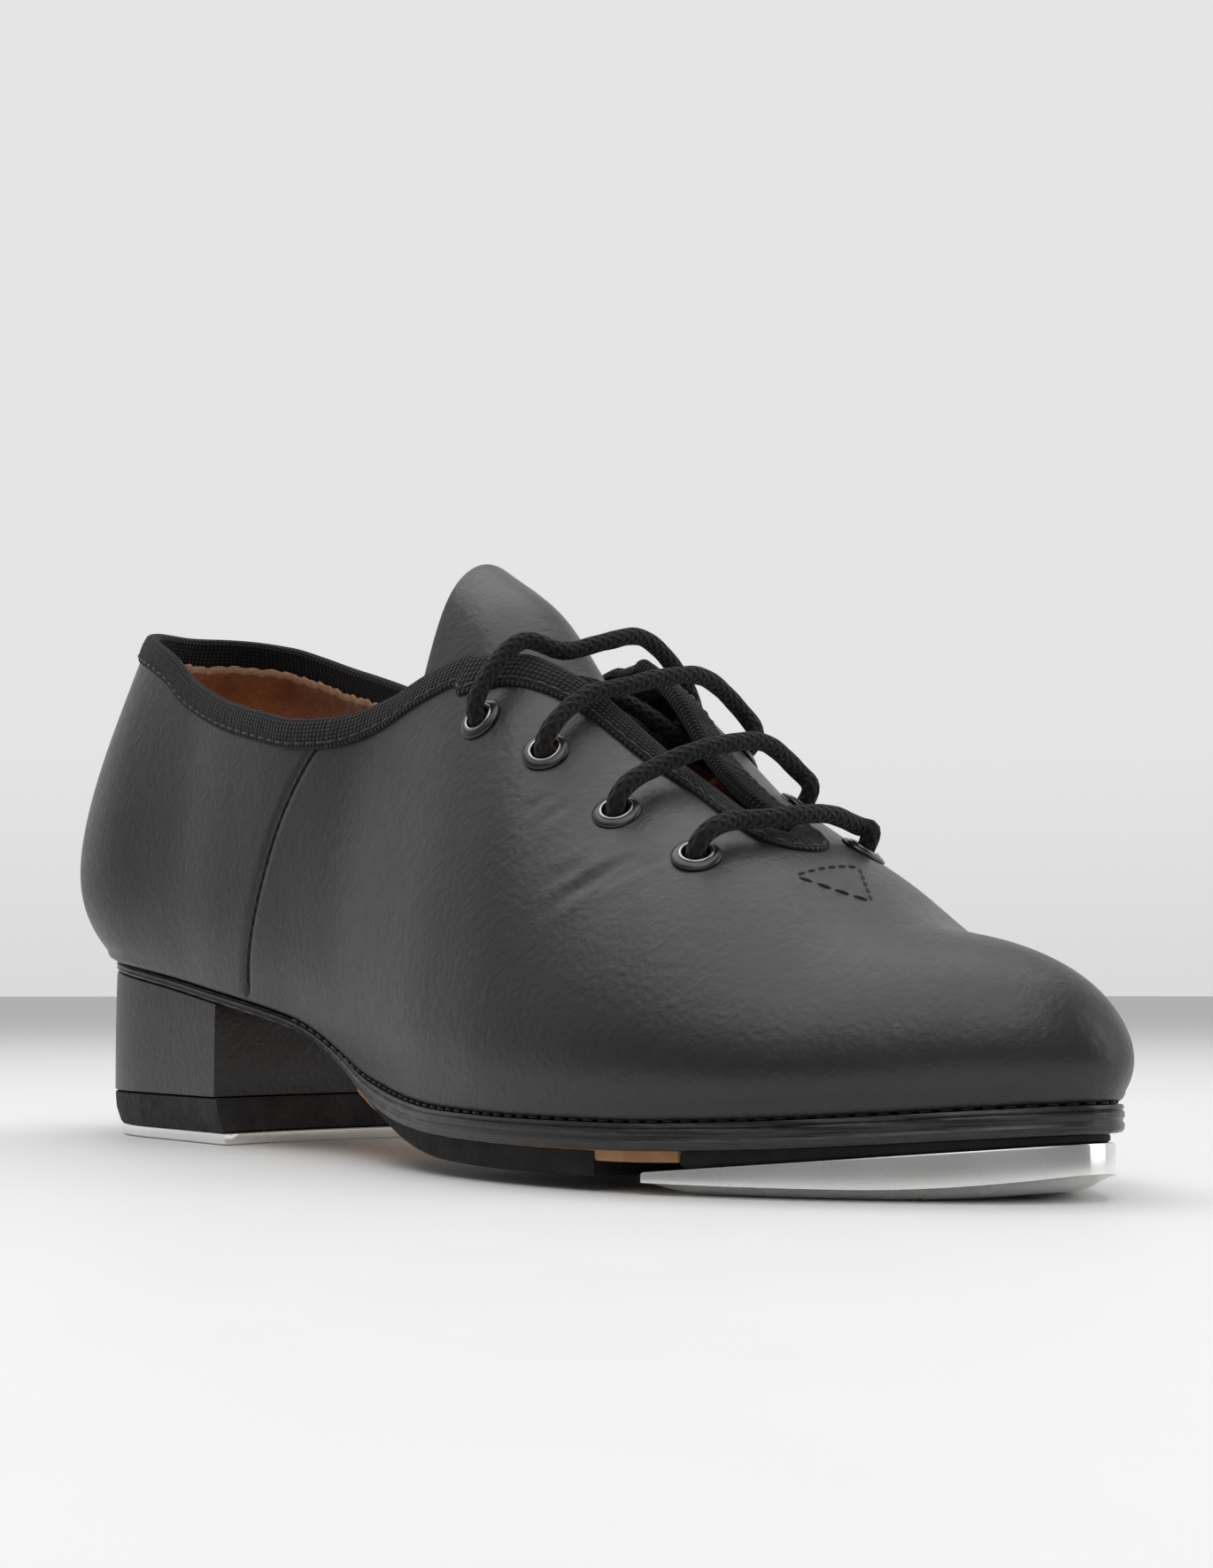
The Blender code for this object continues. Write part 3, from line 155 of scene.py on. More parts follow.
# ---- forepart -------------------------------------------------------------------------------
PAD_REAR, PAD_FRONT = 120.0, 203.0
BOARD_REAR = 218.0
BOARD_INSET = 0.4
TOE_TAP_REAR = 212.0
TOE_TAP_REAR_HEIGHT = 3.4
TOE_TAP_TILT = 0.10
TOE_TAP_INSET = 0.2
TOE_TAP_RIM = 1.8
TOE_TAP_BEVEL = 6.5
TOE_TAP_RISE_FROM, TOE_TAP_RISE = 240.0, 0.0040
TOE_SCREWS = ((222.0, -22.0), (222.0, 24.0), (251.0, 4.0))
SCREW = 3.0
SCREW_HEAD = 6.4
HEAD_DEPTH = 1.6
HEAD_SUNK = 0.25           # screw head's face above the tap's lowest face
TOE_SCREW_LENGTH = 8.5
HEEL_SCREW_LENGTH = 15.0


# ---- curves ---------------------------------------------------------------------------------
class MonotoneCurve:
    """Smooth curve through points that never overshoots them."""

    def __init__(self, points):
        self.x, self.y = np.array(points, float).T
        step = np.diff(self.x)
        rise = np.diff(self.y) / step
        self.slope = np.zeros(len(self.x))
        self.slope[0], self.slope[-1] = rise[0], rise[-1]
        for i in range(1, len(rise)):
            if rise[i - 1] * rise[i] > 0:
                a = 2 * step[i] + step[i - 1]
                b = step[i] + 2 * step[i - 1]
                self.slope[i] = (a + b) / (a / rise[i - 1] + b / rise[i])

    def __call__(self, x):
        x = np.clip(x, self.x[0], self.x[-1])
        i = np.clip(np.searchsorted(self.x, x) - 1, 0, len(self.x) - 2)
        h = self.x[i + 1] - self.x[i]
        t = (x - self.x[i]) / h
        return ((1 + 2 * t) * (1 - t) ** 2 * self.y[i] + t * (1 - t) ** 2 * h * self.slope[i]
                + t * t * (3 - 2 * t) * self.y[i + 1] + t * t * (t - 1) * h * self.slope[i + 1])


class ClosedCurve:
    """Closed cubic spline through points; u runs from 0 to 1 once round."""

    def __init__(self, points):
        p = np.array(points, float)
        n = len(p)
        d = np.linalg.norm(np.roll(p, -1, 0) - p, axis=1)
        a = np.zeros((n, n))
        b = np.zeros_like(p)
        for i in range(n):
            before, after = d[i - 1], d[i]
            a[i, i - 1] += before
            a[i, i] += 2 * (before + after)
            a[i, (i + 1) % n] += after
            b[i] = 6 * ((p[(i + 1) % n] - p[i]) / after - (p[i] - p[i - 1]) / before)
        self.p, self.d, self.bend = p, d, np.linalg.solve(a, b)
        self.knots = np.concatenate([[0], np.cumsum(d)])

    def __call__(self, u):
        s = np.mod(u, 1.0) * self.knots[-1]
        k = np.clip(np.searchsorted(self.knots, s, side="right") - 1, 0, len(self.p) - 1)
        j = (k + 1) % len(self.p)
        h = self.d[k][..., None]
        b = (s[..., None] - self.knots[k][..., None]) / h
        a = 1 - b
        return (a * self.p[k] + b * self.p[j]
                + ((a ** 3 - a) * self.bend[k] + (b ** 3 - b) * self.bend[j]) * h * h / 6)


def smoothstep(edge0, edge1, x):
    t = np.clip((x - edge0) / (edge1 - edge0), 0, 1)
    return t * t * (3 - 2 * t)


# ---- the last -------------------------------------------------------------------------------
def scaled(points):
    return [(x * LAST_LENGTH, y * BALL_WIDTH) for x, y in points]


TREAD = TOE_TAP + TAP_BOARD + OUTSOLE + 3 * GAP
OUTLINE = ClosedCurve(scaled((HEEL_POINT,) + LATERAL_OUTLINE + (TOE_POINT,) + MEDIAL_OUTLINE[::-1]))
arch_curve = MonotoneCurve(ARCH)
spring_curve = MonotoneCurve(SPRING)
crest_curve = MonotoneCurve(CREST)
lateral_curve = MonotoneCurve(LATERAL_TOPLINE)
medial_curve = MonotoneCurve(MEDIAL_TOPLINE)
slit_curve = MonotoneCurve(SLIT_HALF_WIDTH)
seam_curve = MonotoneCurve(SEAM)
bar_curve = MonotoneCurve(BAR_SHAPE)
tongue_width = MonotoneCurve(TONGUE_HALF_WIDTH)
tongue_depth = MonotoneCurve(TONGUE_DEPTH)
tongue_edge_depth = MonotoneCurve(TONGUE_EDGE_DEPTH)


def feather_z(x):
    f = x / LAST_LENGTH
    return TREAD + SEAT_RISE * arch_curve(f) + TOE_SPRING * spring_curve(f)


def crest_z(x):
    return TREAD + INSTEP_HEIGHT * crest_curve(x / LAST_LENGTH)


def outline_normal(u):
    step = 1e-4
    t = OUTLINE(u + step) - OUTLINE(u - step)
    n = np.stack([t[..., 1], -t[..., 0]], -1)
    return n / np.linalg.norm(n, axis=-1, keepdims=True)


def last_point(u, phi):
    """Point of the outer surface: u goes round the feather line, phi from it up to the crest."""
    u, phi = np.broadcast_arrays(np.asarray(u, float), np.asarray(phi, float))
    o = OUTLINE(u)
    x = o[..., 0]
    lo, hi, k = SPINE_BACK * LAST_LENGTH, SPINE_FRONT * LAST_LENGTH, SPINE_SOFTNESS
    spine_x = lo + k * np.log1p(np.exp((x - lo) / k)) - k * np.log1p(np.exp((x - hi) / k))
    spine = np.stack([spine_x, SPINE_SHIFT * np.clip((spine_x - lo) / (hi - lo), 0, 1)], -1)
    f = x / LAST_LENGTH
    toe = smoothstep(.718, .945, f)
    heel = 1 - smoothstep(.038, .227, f)
    instep = np.exp(-((f - .454) / .151) ** 2) * (1 - toe) * (1 - heel)
    medial = smoothstep(-8, 8, o[..., 1])
    side_n = SIDE_ROUNDNESS[0] * (1 - medial) + SIDE_ROUNDNESS[1] * medial
    instep_n = INSTEP_ROUNDNESS[0] * (1 - medial) + INSTEP_ROUNDNESS[1] * medial
    side_bulge = SIDE_BULGE[0] * (1 - medial) + SIDE_BULGE[1] * medial
    n = side_n * (1 - toe - heel) + TOE_ROUNDNESS * toe + HEEL_ROUNDNESS * heel
    n = n + (instep_n - side_n) * instep
    bulge = side_bulge * (1 - toe - heel) + TOE_BULGE * toe + HEEL_BULGE * heel
    r = np.clip(np.cos(phi), 0, 1) ** (2 / n)
    h = np.sin(phi)
    low = .25 + .1 * toe
    swell = (h / low) * np.exp(1 - h / low) * (1 - h * h)
    xy = spine + (o - spine) * r[..., None] + outline_normal(u) * (bulge * swell)[..., None]
    base = feather_z(x)
    z = base + (crest_z(xy[..., 0]) - base) * h
    return np.concatenate([xy, z[..., None]], -1)


def last_normal(u, phi):
    u, phi = np.broadcast_arrays(np.asarray(u, float), np.asarray(phi, float))
    phi = np.clip(phi, 2e-3, math.pi / 2 - 2e-3)
    du = last_point(u + 1e-4, phi) - last_point(u - 1e-4, phi)
    dphi = last_point(u, phi + 1e-3) - last_point(u, phi - 1e-3)
    n = np.cross(du, dphi)
    return n / np.linalg.norm(n, axis=-1, keepdims=True)


SAMPLE_FLOOR = 40.0        # only surface above this height is looked up by plan position
SAMPLE_U, SAMPLE_PHI = np.meshgrid(np.linspace(0, 1, 480, endpoint=False),
                                   np.linspace(.05, 1.56, 120))
SAMPLES = last_point(SAMPLE_U, SAMPLE_PHI)


def surface_at(x, y):
    """Surface parameters over the plan point (x, y), on the upper half of the last."""
    low = SAMPLES[..., 2] < SAMPLE_FLOOR
    away = np.hypot(SAMPLES[..., 0] - x, SAMPLES[..., 1] - y) + 1e3 * low
    i = np.unravel_index(away.argmin(), away.shape)
    u, phi = SAMPLE_U[i], SAMPLE_PHI[i]
    for _ in range(6):
        p = last_point(u, phi)[:2]
        ju = (last_point(u + 1e-4, phi)[:2] - p) / 1e-4
        jp = (last_point(u, phi + 1e-4)[:2] - p) / 1e-4
        det = ju[0] * jp[1] - ju[1] * jp[0]
        if abs(det) < 1e-6:
            break
        ex, ey = x - p[0], y - p[1]
        u += np.clip((ex * jp[1] - ey * jp[0]) / det, -.01, .01)
        phi = min(max(phi + np.clip((ey * ju[0] - ex * ju[1]) / det, -.1, .1), .05), 1.565)
    return u, phi


def over(x, y, lift):
    """Point a given height above (or below) the outer surface, over the plan point (x, y)."""
    u, phi = surface_at(x, y)
    return last_point(u, phi) + last_normal(u, phi) * lift


def normal_over(x, y):
    """Outward normal of the outer surface over the plan point (x, y)."""
    u, phi = surface_at(x, y)
    return last_normal(u, phi)


# ---- the opening ----------------------------------------------------------------------------
def slit_middle(x):
    return SLIT_MIDDLE - SLIT_LEAN * smoothstep(SLIT_END, SLIT_START, x)


def opening_depth(p):
    """How far a surface point is inside the foot opening or the lacing slit; negative outside."""
    x, y, z = p[..., 0], p[..., 1], p[..., 2]
    f = x / LAST_LENGTH
    medial = smoothstep(-6, 6, y)
    share = (1 - medial) * lateral_curve(f) + medial * medial_curve(f)
    over_top = z - (TREAD + SEAT_RISE + BACK_HEIGHT * share - EDGE_FOLD)
    width = slit_curve(f)
    past_end = np.maximum(x - SLIT_END + width, 0)
    in_slit = width - np.hypot(y - slit_middle(x), past_end)
    in_slit = in_slit - 60 * smoothstep(SLIT_START, SLIT_START - 10, x)
    corner = np.abs(over_top - in_slit) / CORNER_RADIUS
    return np.maximum(over_top, in_slit) + CORNER_RADIUS * np.log1p(np.exp(-corner))


def edge_phi(u, inset):
    """phi where each rib comes within inset of the opening's edge."""
    u = np.asarray(u, float)
    trial = np.linspace(.15, math.pi / 2 - .003, 160)
    depth = opening_depth(last_point(u[:, None], trial[None, :])) + inset
    first = np.argmax(depth > 0, axis=1)
    lo, hi = trial[np.maximum(first - 1, 0)], trial[first]
    for _ in range(14):
        mid = (lo + hi) / 2
        inside = opening_depth(last_point(u, mid)) + inset > 0
        hi = np.where(inside, mid, hi)
        lo = np.where(inside, lo, mid)
    return (lo + hi) / 2


# ---- outlines in plan -----------------------------------------------------------------------
DENSE_U = np.linspace(0, 1, 1440, endpoint=False)
DENSE_OUTLINE = OUTLINE(DENSE_U)
DENSE_NORMAL = outline_normal(DENSE_U)
TOE_INDEX = int(DENSE_OUTLINE[:, 0].argmax())


def branch(side, inset):
    """Feather line, moved in by inset, from the heel to the toe along one side (-1 lateral)."""
    step = inset(DENSE_OUTLINE[:, 0])[:, None] if callable(inset) else inset
    ring = DENSE_OUTLINE - DENSE_NORMAL * step
    heel = int(ring[:, 0].argmin())
    toe = (int(ring[:, 0].argmax()) - heel) % len(ring)
    ring = np.roll(ring, -heel, 0)
    return ring[:toe + 1] if side < 0 else np.vstack([ring[toe:], ring[:1]])[::-1]


def both_sides(x, inset):
    """Closed outline through stations x: the lateral side forward, the medial side back."""
    sides = []
    for side in (-1, 1):
        line = branch(side, inset)
        sides.append(np.stack([x, np.interp(x, line[:, 0], line[:, 1])], -1))
    return np.vstack([sides[0], sides[1][::-1]])


def ends_of(inset, rear, front):
    line = branch(-1, inset)
    return max(rear, line[0, 0] + .15), min(front, line[-1, 0] - .15)


def toe_outline(inset, rear, count):
    """Outline of the toe region, its points closer together towards the tip."""
    rear, front = ends_of(inset, rear, 1e3)
    return both_sides(rear + (front - rear) * np.sin(np.linspace(0, math.pi / 2, count)), inset)


def heel_side(side, inset, breast_x, count):
    line = branch(side, inset)
    line = np.vstack([line[line[:, 0] < breast_x],
                      [breast_x, np.interp(breast_x, line[:, 0], line[:, 1])]])
    s = np.concatenate([[0], np.cumsum(np.linalg.norm(np.diff(line, axis=0), axis=1))])
    t = np.linspace(0, s[-1], count)
    return np.stack([np.interp(t, s, line[:, 0]), np.interp(t, s, line[:, 1])], -1)


def heel_outline(inset, breast_x, count=18, breast=6):
    """Closed D-shaped outline of the heel: back, lateral side, curved breast, medial side."""
    lateral = heel_side(-1, inset, breast_x, count)
    medial = heel_side(1, inset, breast_x, count)[::-1]
    s = np.linspace(0, 1, breast + 2)[1:-1, None]
    front = lateral[-1] * (1 - s) + medial[0] * s
    front[:, 0] -= 4 * BREAST_SAG * (s * (1 - s))[:, 0]
    return np.vstack([lateral, front, medial[:-1]])


def at_height(outline, z):
    return np.column_stack([outline, np.broadcast_to(z, len(outline))])


def side_u(x, side):
    """Outline parameter at station x on one side."""
    if side < 0:
        return np.interp(x, DENSE_OUTLINE[:TOE_INDEX + 1, 0], DENSE_U[:TOE_INDEX + 1])
    xs = np.append(DENSE_OUTLINE[TOE_INDEX:, 0], DENSE_OUTLINE[0, 0])
    return np.interp(-x, -xs, np.append(DENSE_U[TOE_INDEX:], 1.0))


def seam_u(t, side, shift):
    return side_u(seam_curve(t) * LAST_LENGTH + shift, side)


def bottom_phi(u, height):
    """phi at a height above the feather line."""
    trial = np.linspace(0, .6, 120)
    z = last_point(u[:, None], trial[None, :])[..., 2] - feather_z(OUTLINE(u)[:, :1])
    return np.array([np.interp(height, row, trial) for row in z])


def turned(profile, segments, centre, axis):
    """Circular rings for a (radius, height) profile turned about an axis through centre."""
    axis = np.array(axis, float) / np.linalg.norm(axis)
    side = np.cross(axis, [1, 0, 0]) if abs(axis[0]) < .9 else np.cross(axis, [0, 1, 0])
    side /= np.linalg.norm(side)
    other = np.cross(axis, side)
    angle = np.arange(segments) * 2 * math.pi / segments
    spoke = np.cos(angle)[:, None] * side + np.sin(angle)[:, None] * other
    return [np.array(centre) + r * spoke + h * axis for r, h in profile]


def eyelet_places():
    return [(x, y) for ys in (LATERAL_EYELETS, MEDIAL_EYELETS) for x, y in zip(EYELET_ROWS, ys)]


def resting(x, y, lift=0.0):
    """Lace centre where it lies on the sock liner."""
    return np.array([x, y, feather_z(x) + SOCK_TOP + LACE / 2 + 2 * GAP + lift])


def up_through(row, y, step):
    """Route up through one eyelet, from under the leather to above it."""
    x = EYELET_ROWS[row]
    return [over(x, y + step * 6, LACE_UNDER), over(x, y + step * 2.4, LACE_UNDER + .3),
            over(x, y, LACE_ENTRY), over(x, y, LACE_EXIT)]


def bar_point(row, share):
    """Lace centre on the bar between two eyelets: share 0 lateral, 1 medial."""
    y0, y1 = LATERAL_EYELETS[row], MEDIAL_EYELETS[row]
    bow = math.sin(math.pi * share)
    x = EYELET_ROWS[row] + BAR_BOW * bow
    y = y0 + (y1 - y0) * share - BAR_LEAN * bow
    z = over(EYELET_ROWS[row], y0, 0)[2] + BAR_RISE[row] * float(bar_curve(share))
    if abs(y - slit_middle(x)) > slit_curve(x / LAST_LENGTH) - 2.5:
        z = max(z, over(x, y, 0)[2] + LACE_OUT / normal_over(x, y)[2])
    return np.array([x, y, z])


def lace_route():
    """One lace: medial tail, then bar, crossing, bar ... down the rows, and the lateral tail."""
    route = [resting(84, 12), resting(96, 13), resting(108, 13.5), resting(121, 14.5, 1),
             resting(133, 16.5, 8), resting(142, 19, 22), resting(149, 20, 38)]
    for row, x in enumerate(EYELET_ROWS):
        lateral, medial = LATERAL_EYELETS[row], MEDIAL_EYELETS[row]
        up = up_through(row, medial, -1)
        route += up if row else up[2:]
        route += [over(x, medial - .8, 4.4), bar_point(row, 1) + np.array([0, .6, 0])]
        route += [bar_point(row, share) for share in (.8, .6, .4, .2)]
        route.append(over(x, lateral + 2.4, LACE_OUT))
        down = up_through(row, lateral, 1)[::-1]
        if row == len(EYELET_ROWS) - 1:
            route += down[:2]
            continue
        route += down
        start = np.array([x, lateral + 6])
        end = np.array([EYELET_ROWS[row + 1], MEDIAL_EYELETS[row + 1] - 6])
        for t in (.33, .67):
            q = start + (end - start) * t
            route.append(over(q[0], q[1], LACE_UNDER))
    return route + [resting(203, -18.3, 18), resting(199, -18, 8), resting(191, -17.5, 1.5),
                    resting(181, -17), resting(171, -16.5), resting(160, -16), resting(149, -15.5, 3)]


def sole_under(x):
    """Underside of the outsole, which is thinner at the waist and the seat."""
    return feather_z(x) - GAP - SEAT_OUTSOLE - (OUTSOLE - SEAT_OUTSOLE) * smoothstep(104, 146, x)


def pad_under(x):
    return sole_under(x) - GAP - PAD * smoothstep(PAD_REAR - 16, PAD_REAR + 46, x)


def sole_inset(x):
    return SEAT_INSET - (SEAT_INSET + SOLE_EDGE) * smoothstep(96, 140, x)


def tap_top(x):
    return TOE_TAP_REAR_HEIGHT + TOE_TAP_TILT * (x - TOE_TAP_REAR)


def tap_ground(x):
    return TOE_TAP_RISE * np.maximum(x - TOE_TAP_RISE_FROM, 0) ** 2


# ---- placing and building -------------------------------------------------------------------
def joint_point(name):
    joints = frame["record"]["behaviour"]["joints"]
    return [j["pos_m"] for j in joints if j["name"] == name][0]


FIRST_SCREW = np.array(joint_point("toe_screw_1_turn")) * 1000
OFFSET = np.array([TOE_SCREWS[0][0] - FIRST_SCREW[0], TOE_SCREWS[0][1] - FIRST_SCREW[1], 0])


def place(points):
    """Row-frame metres of last-frame millimetres."""
    return (np.asarray(points, float) - OFFSET) * 0.001


def finish_piece(obj, body, nodes=()):
    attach(obj, body)
    if nodes:
        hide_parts(*nodes)
    return obj


def make_mesh(name, points, faces, materials, loop_uv=None, face_material=None, smooth=None):
    mesh = bpy.data.meshes.new(name)
    mesh.from_pydata(place(points).tolist(), [], [tuple(int(i) for i in f) for f in faces])
    for material in materials:
        mesh.materials.append(material)
    if loop_uv is not None:
        layer = mesh.uv_layers.new(name="UVMap")
        layer.data.foreach_set("uv", np.asarray(loop_uv, np.float32).ravel())
    if face_material is not None:
        mesh.polygons.foreach_set("material_index", np.asarray(face_material, np.int32))
    mesh.shade_smooth()
    if smooth is not None:
        mesh.set_sharp_from_angle(angle=math.radians(smooth))
    obj = bpy.data.objects.new(name, mesh)
    bpy.context.collection.objects.link(obj)
    return obj


def grid_piece(name, grid, uv, materials, wrap_rows=False, wrap_cols=False, keep=None,
               face_material=None, smooth=None, caps=False):
    """Quads over a grid of points (rows, columns, 3); uv has one more row or column where it wraps."""
    rows, cols = grid.shape[:2]
    r = np.arange(rows if wrap_rows else rows - 1)
    c = np.arange(cols if wrap_cols else cols - 1)
    rr, cc = np.meshgrid(r, c, indexing="ij")
    rr, cc = rr.ravel(), cc.ravel()
    r1, c1 = (rr + 1) % rows, (cc + 1) % cols
    quads = np.stack([rr * cols + cc, rr * cols + c1, r1 * cols + c1, r1 * cols + cc], -1)
    corner_uv = np.stack([uv[rr, cc], uv[rr, cc + 1], uv[rr + 1, cc + 1], uv[rr + 1, cc]], 1)
    chosen = np.ones(len(quads), bool)
    if keep is not None:
        chosen = keep(grid.reshape(-1, 3)[quads].mean(1))
    quads, corner_uv = quads[chosen], corner_uv[chosen]
    faces = quads.tolist()
    loops = corner_uv.reshape(-1, 2)
    slots = np.zeros(len(faces), int)
    if face_material is not None:
        slots = face_material(grid.reshape(-1, 3)[quads].mean(1), rr[chosen], cc[chosen])
    if caps:
        for ring in (range(cols), range((rows - 1) * cols, rows * cols)):
            faces.append(list(ring)[::-1] if ring[0] == 0 else list(ring))
            loops = np.vstack([loops, grid.reshape(-1, 3)[list(ring), :2]])
            slots = np.append(slots, slots[0 if ring[0] == 0 else -1])
    points = grid.reshape(-1, 3)
    used = np.zeros(len(points), bool)
    used[[i for f in faces for i in f]] = True
    number = np.cumsum(used) - 1
    faces = [[number[i] for i in f] for f in faces]
    return make_mesh(name, points[used], faces, materials, loops, slots, smooth)


def arc_uv(grid, wrap_rows=False, wrap_cols=False):
    """uv in millimetres along the columns and rows of a grid."""
    g = np.concatenate([grid, grid[:, :1]], 1) if wrap_cols else grid
    g = np.concatenate([g, g[:1]], 0) if wrap_rows else g
    along = np.linalg.norm(np.diff(g, axis=1), axis=2).mean(0)
    across = np.linalg.norm(np.diff(g, axis=0), axis=2).mean(1)
    u = np.concatenate([[0], np.cumsum(along)])
    v = np.concatenate([[0], np.cumsum(across)])
    uu, vv = np.meshgrid(u, v)
    return np.stack([uu, vv], -1)


def facing_out(obj, inside):
    """Turn an open or closed surface so that its faces look away from a point inside."""
    mesh = obj.data
    centre = Vector(place(inside))
    votes = sum(1 if (p.center - centre).dot(p.normal) > 0 else -1 for p in mesh.polygons)
    if votes < 0:
        mesh.flip_normals()
    return obj


def solidify(obj, thickness, offset=-1.0):
    mod = obj.modifiers.new("thickness", "SOLIDIFY")
    mod.thickness = thickness * 0.001
    mod.offset = offset
    mod.use_even_offset = False
    return obj


# ---- materials ------------------------------------------------------------------------------
def new_material(name, colour, roughness, metallic=0.0, sheen=0.0, specular=0.5, coat=0.0):
    material = bpy.data.materials.new(name)
    material.use_nodes = True
    shader = material.node_tree.nodes["Principled BSDF"]
    shader.inputs["Base Color"].default_value = (*colour, 1)
    shader.inputs["Roughness"].default_value = roughness
    shader.inputs["Metallic"].default_value = metallic
    shader.inputs["Sheen Weight"].default_value = sheen
    shader.inputs["Sheen Roughness"].default_value = .4
    shader.inputs["Specular IOR Level"].default_value = specular
    shader.inputs["Coat Weight"].default_value = coat
    shader.inputs["Coat Roughness"].default_value = .15
    material.diffuse_color = (*colour, 1)
    return material


class Nodes:
    """Short names for building one material's node tree."""

    def __init__(self, material):
        self.tree = material.node_tree
        self.shader = self.tree.nodes["Principled BSDF"]
        self.coords = self.tree.nodes.new("ShaderNodeTexCoord")

    def link(self, a, b):
        self.tree.links.new(a, b)
        return b

    def mapped(self, scale, kind="Object", rotation=(0, 0, 0)):
        node = self.tree.nodes.new("ShaderNodeMapping")
        node.inputs["Scale"].default_value = scale
        node.inputs["Rotation"].default_value = rotation
        self.link(self.coords.outputs[kind], node.inputs["Vector"])
        return node.outputs["Vector"]

    def noise(self, vector, scale, detail=3.0, roughness=.5):
        node = self.tree.nodes.new("ShaderNodeTexNoise")
        node.inputs["Scale"].default_value = scale
        node.inputs["Detail"].default_value = detail
        node.inputs["Roughness"].default_value = roughness
        self.link(vector, node.inputs["Vector"])
        return node.outputs["Fac"]

    def voronoi(self, vector, scale, feature="F1"):
        node = self.tree.nodes.new("ShaderNodeTexVoronoi")
        node.feature = feature
        node.inputs["Scale"].default_value = scale
        self.link(vector, node.inputs["Vector"])
        return node.outputs["Distance"]

    def wave(self, vector, scale, distortion=0.0, direction="X"):
        node = self.tree.nodes.new("ShaderNodeTexWave")
        node.bands_direction = direction
        node.inputs["Scale"].default_value = scale
        node.inputs["Distortion"].default_value = distortion
        node.inputs["Detail"].default_value = 1.0
        self.link(vector, node.inputs["Vector"])
        return node.outputs["Fac"]

    def math(self, operation, a, b=0.0):
        node = self.tree.nodes.new("ShaderNodeMath")
        node.operation = operation
        for socket, value in zip(node.inputs, (a, b)):
            if isinstance(value, (int, float)):
                socket.default_value = value
            else:
                self.link(value, socket)
        return node.outputs[0]

    def ramp(self, fac, stops):
        node = self.tree.nodes.new("ShaderNodeValToRGB")
        ramp = node.color_ramp
        while len(ramp.elements) < len(stops):
            ramp.elements.new(.5)
        for element, (position, colour) in zip(ramp.elements, stops):
            element.position = position
            element.color = (*colour, 1)
        self.link(fac, node.inputs["Fac"])
        return node.outputs["Color"]

    def range(self, fac, low, high):
        node = self.tree.nodes.new("ShaderNodeMapRange")
        node.inputs["To Min"].default_value = low
        node.inputs["To Max"].default_value = high
        self.link(fac, node.inputs["Value"])
        return node.outputs["Result"]

    def bump(self, height, strength, distance_mm, after=None):
        node = self.tree.nodes.new("ShaderNodeBump")
        node.inputs["Strength"].default_value = strength
        node.inputs["Distance"].default_value = distance_mm * 0.001
        self.link(height, node.inputs["Height"])
        if after is not None:
            self.link(after, node.inputs["Normal"])
        self.link(node.outputs["Normal"], self.shader.inputs["Normal"])
        return node.outputs["Normal"]

    def colour(self, socket):
        self.link(socket, self.shader.inputs["Base Color"])

    def rough(self, socket):
        self.link(socket, self.shader.inputs["Roughness"])


def leather(name, dark, light, roughness):
    material = new_material(name, light, sum(roughness) / 2, specular=.55)
    n = Nodes(material)
    v = n.mapped((1, 1, 1))
    large = n.noise(v, 28, 4)
    n.colour(n.ramp(large, ((.3, dark), (.7, light))))
    pores = n.voronoi(v, 950, "SMOOTH_F1")
    fine = n.noise(v, 2600, 3, .6)
    folds = n.noise(v, 260, 3)
    n.rough(n.range(n.noise(v, 420, 4), *roughness))
    first = n.bump(n.math("ADD", pores, n.math("MULTIPLY", fine, .5)), .40, .14)
    n.bump(n.math("ADD", folds, n.noise(n.mapped((1, .35, 1)), 700, 4, .6)), .35, .28, first)
    return material


def knit(name, colour, sheen):
    """Knitted tape: wales along the tape, loops across it, in uv millimetres; its colour holds painted
    shade in the hollows and painted highlights on the loops.
    """
    material = new_material(name, colour, .92, sheen=sheen, specular=.2)
    n = Nodes(material)
    v = n.mapped((1, 1, 1), "UV")
    fuzz = n.noise(n.mapped((1, 1, 1)), 2200, 4, .7)
    loops = n.wave(v, .29, 1.2, "X")
    wales = n.wave(v, .30, .8, "Y")
    height = n.math("ADD", n.math("MULTIPLY", loops, wales), n.math("MULTIPLY", fuzz, .5))
    c = np.array(colour)
    # painted shade and highlight: colour darker in the hollows between the loops, lighter on their tops
    n.colour(n.ramp(height, ((.1, tuple(c * .45)), (.55, tuple(c)), (1.0, tuple(c * 1.9)))))
    n.bump(height, .9, .45)
    return material


def braid(name, colour):
    material = new_material(name, colour, .85, sheen=.10, specular=.25)
    n = Nodes(material)
    one = n.wave(n.mapped((1, 1, 1), "UV", (0, 0, math.radians(38))), .23, .5, "X")
    two = n.wave(n.mapped((1, 1, 1), "UV", (0, 0, math.radians(-38))), .23, .5, "X")
    fuzz = n.noise(n.mapped((1, 1, 1)), 2400, 4, .7)
    height = n.math("ADD", n.math("MAXIMUM", one, two), n.math("MULTIPLY", fuzz, .6))
    c = np.array(colour)
    # painted shade and highlight: colour darker in the grooves between the strands, lighter on their
    # ridges
    n.colour(n.ramp(height, ((.3, tuple(c * .4)), (.9, tuple(c * 1.6)))))
    n.bump(height, .9, .6)
    return material


def suede(name, dark, light):
    material = new_material(name, light, .96, sheen=.4, specular=.15)
    n = Nodes(material)
    v = n.mapped((1, 1, 1))
    n.colour(n.ramp(n.noise(v, 130, 6, .65), ((.3, dark), (.7, light))))
    nap = n.math("ADD", n.noise(v, 700, 5, .7), n.noise(v, 3200, 2))
    n.bump(nap, .8, .6)
    return material


